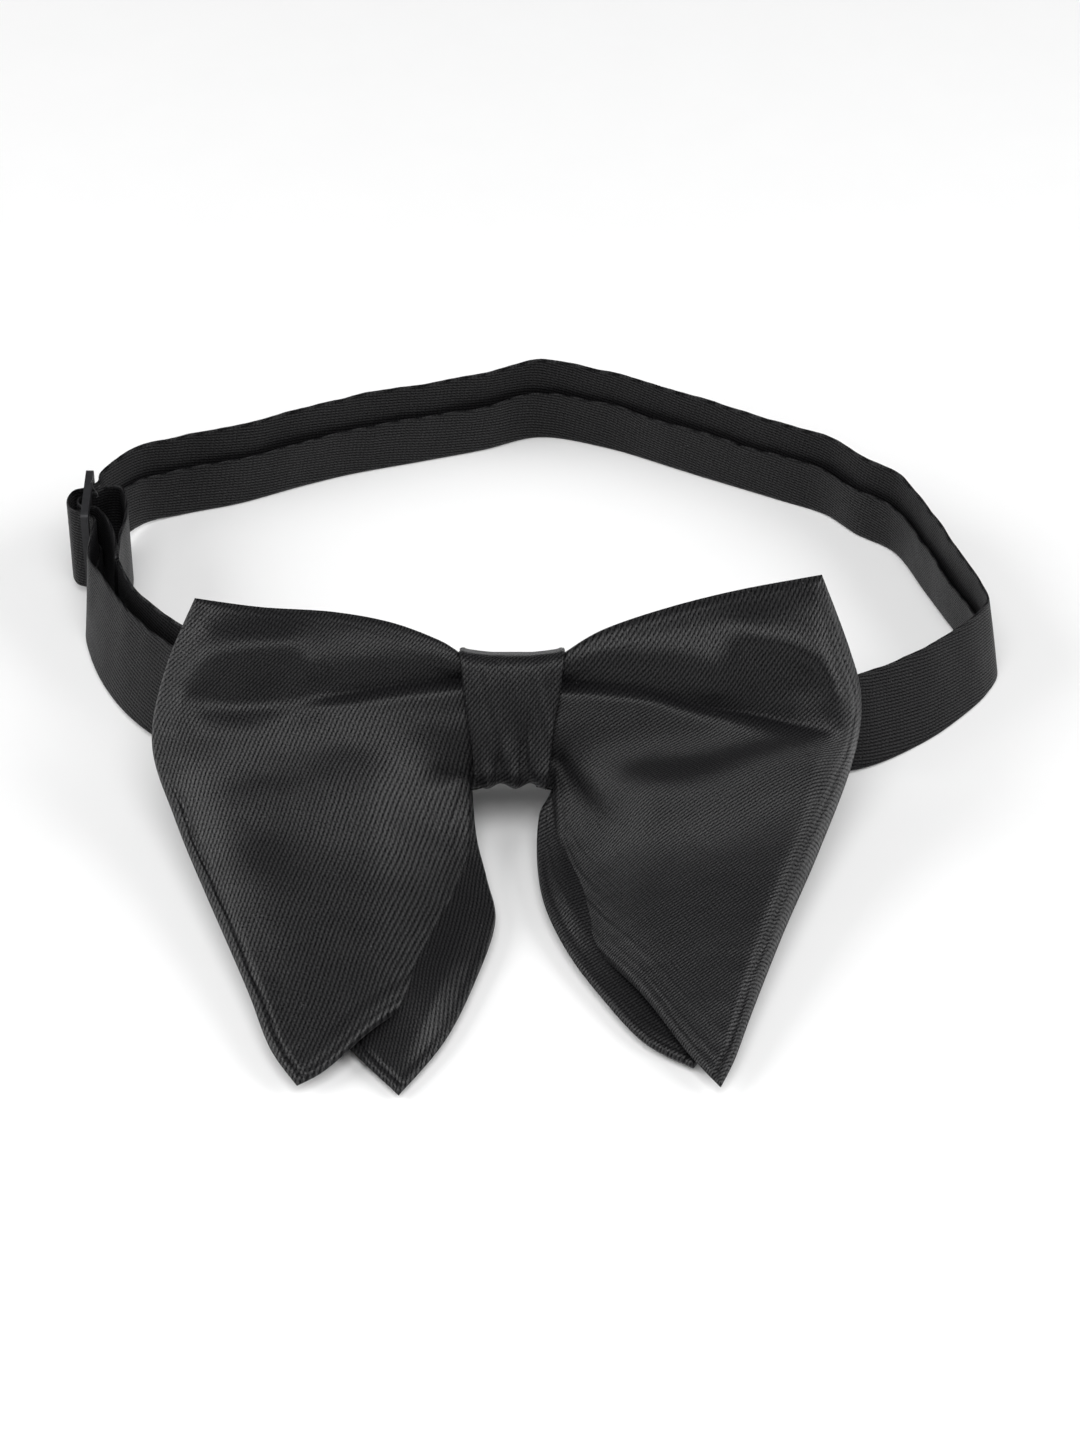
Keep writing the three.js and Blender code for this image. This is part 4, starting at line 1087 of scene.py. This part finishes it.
def tacks():
    for side, name in ((-1, "left"), (1, "right")):
        bar_tack(f"{name}_band_stitches", f"{name}_band_tack", "knot", in_knot(5 * side, 0, -3.3),
                 (1.6, 0, 0), leaning_up(KNOT_LEAN))
    lean = math.radians(FITTING_LEAN)
    beside_bar = EYE_SLOT_X + FITTING_SLOT / 2 + FITTING_BAR + 0.9
    middle = np.array((beside_bar, *FITTING_FOOT)) + 10 * np.array(leaning_up(lean))
    bar_tack("eye_stitches", "eye_tack", "knot", middle, (1, 0, 0), leaning_up(lean))
    x, y, z, _ = beside_slide(-7.25, 9.2)
    bar_tack("sewn_end_stitches", "sewn_end_tack", "slide", (x, y, z + 10), (0, 1.6, 0), (0, 0, 1))


def loose_thread():
    """The cut end of the sewing thread that sticks up beside the slide."""
    t = np.linspace(0, 1, 24)[:, None]
    start = np.array([SLIDE_CENTRE[0] + 1.6, SLIDE_CENTRE[1] + 2.0, 21.0])
    path = start + t * np.array([-0.8, 0.6, 4.2]) + np.sin(7 * t) * np.array([0.5, -0.7, 0.2])
    fit(tube("loose_thread_end", path, 0.11), thread_finish, "thread", "slide")


# ---- assembly ----

satin = twill("black_satin_twill")
knot_satin = twill("black_satin_twill_knot", rough=0.4, gloss=0.16)
# the neckband's satin is the same cloth darkened to 0.9 as painted shade, with less gloss and more roughness
shaded_band_satin = twill("black_satin_twill_neckband_shaded", shade=0.9, rough=0.46, gloss=0.105)
thread_finish = sewing_thread("black_sewing_thread")
metal_finish = coated_metal("black_coated_metal")

LEFT_FOLD = ((10, 38, 62), (-7, -3.4, -1))
RIGHT_FOLD = ((10, 26, 45, 60), (-6.2, -4.9, 0.1, 3.8))

front_wing("left_front_wing", LEFT_FRONT, left_front_relief, 3, (43, 73, LEFT_FOLD), 0.3, (9, 32, 7))
front_wing("right_front_wing", RIGHT_FRONT, right_front_relief, 7, (55, 32, RIGHT_FOLD), 0.0, (2.2, 34, 7))
rear_wing("left_rear_wing", LEFT_REAR, 13, (82, 82, LEFT_FOLD), (-13, 67), 3.2)
rear_wing("right_rear_wing", RIGHT_REAR, 19, (32, 32, RIGHT_FOLD), (9, 45), 2.0)

fit(knot_wrap(), knot_satin, "satin_twill", "knot", "knot_wrap", "knot_interlining")
for bow, forward_from, forward_to, folds in (("front", 0.6, 3.0, 5), ("rear", -2.1, 0.3, 6)):
    waist = gathered_waist(f"{bow}_bow_gathers", forward_from, forward_to, folds)
    fit(waist, satin, "satin_twill", "knot", f"{bow}_bow_waist")

neckband(shaded_band_satin)
short_front_end(shaded_band_satin)
tacks()
loose_thread()


def finish_node(node_name, material, radius, segments):
    """Gives a piece of the CAD part its material and small rounded edges."""
    node = dress(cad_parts[node_name], material)
    bevel = node.modifiers.new("rounded edges", "BEVEL")
    bevel.width = radius * MM
    bevel.segments = segments
    bevel.limit_method = "ANGLE"


for node_name in ("slide_frame", "hook", "eye"):
    finish_node(node_name, metal_finish, 0.22, 3)
finish_node("waist_binding_thread", thread_finish, 0.15, 2)

# ---- the table, the light and the camera ----

floor = make_object("table", [(-3000, -3000, 0), (3000, -3000, 0), (3000, 3000, 0), (-3000, 3000, 0)],
                    [[0, 1, 2, 3]], smooth_shading=False)
floor.data.materials.append(table_top("pale_table"))


TARGET = metres((5.3, -8, 25))


def aimed(thing, position):
    """Puts a lamp or the camera at a place in metres, facing the bow."""
    thing.location = position
    thing.rotation_euler = (Vector(TARGET) - Vector(position)).to_track_quat("-Z", "Y").to_euler()
    bpy.context.scene.collection.objects.link(thing)
    return thing


def soft_light(name, position, size, power):
    data = bpy.data.lights.new(name, "AREA")
    data.shape = "DISK"
    data.size = size
    data.energy = power
    aimed(bpy.data.objects.new(name, data), position)


soft_light("softbox_left", (-0.95, -0.1, 0.6), 0.9, 8)
soft_light("softbox_right", (0.95, -0.1, 0.6), 0.9, 8)
soft_light("softbox_front", (0.0, -0.5, 1.05), 0.8, 7.5)
world = bpy.data.worlds.new("studio")
world.use_nodes = True
world.node_tree.nodes["Background"].inputs["Color"].default_value = (1, 1, 1, 1)
world.node_tree.nodes["Background"].inputs["Strength"].default_value = 0.16
bpy.context.scene.world = world
bpy.context.scene.view_settings.view_transform = "Standard"

CAMERA_DISTANCE = 0.8
CAMERA_RISE = math.radians(41)
FOCAL_LENGTH = 106
lens = bpy.data.cameras.new("camera")
lens.lens = FOCAL_LENGTH
lens.sensor_width = 36
lens.sensor_fit = "AUTO"
lens.clip_start = 0.01
way_up = Vector((0, -math.cos(CAMERA_RISE), math.sin(CAMERA_RISE)))
camera = aimed(bpy.data.objects.new("camera", lens), Vector(TARGET) + CAMERA_DISTANCE * way_up)
bpy.context.scene.camera = camera
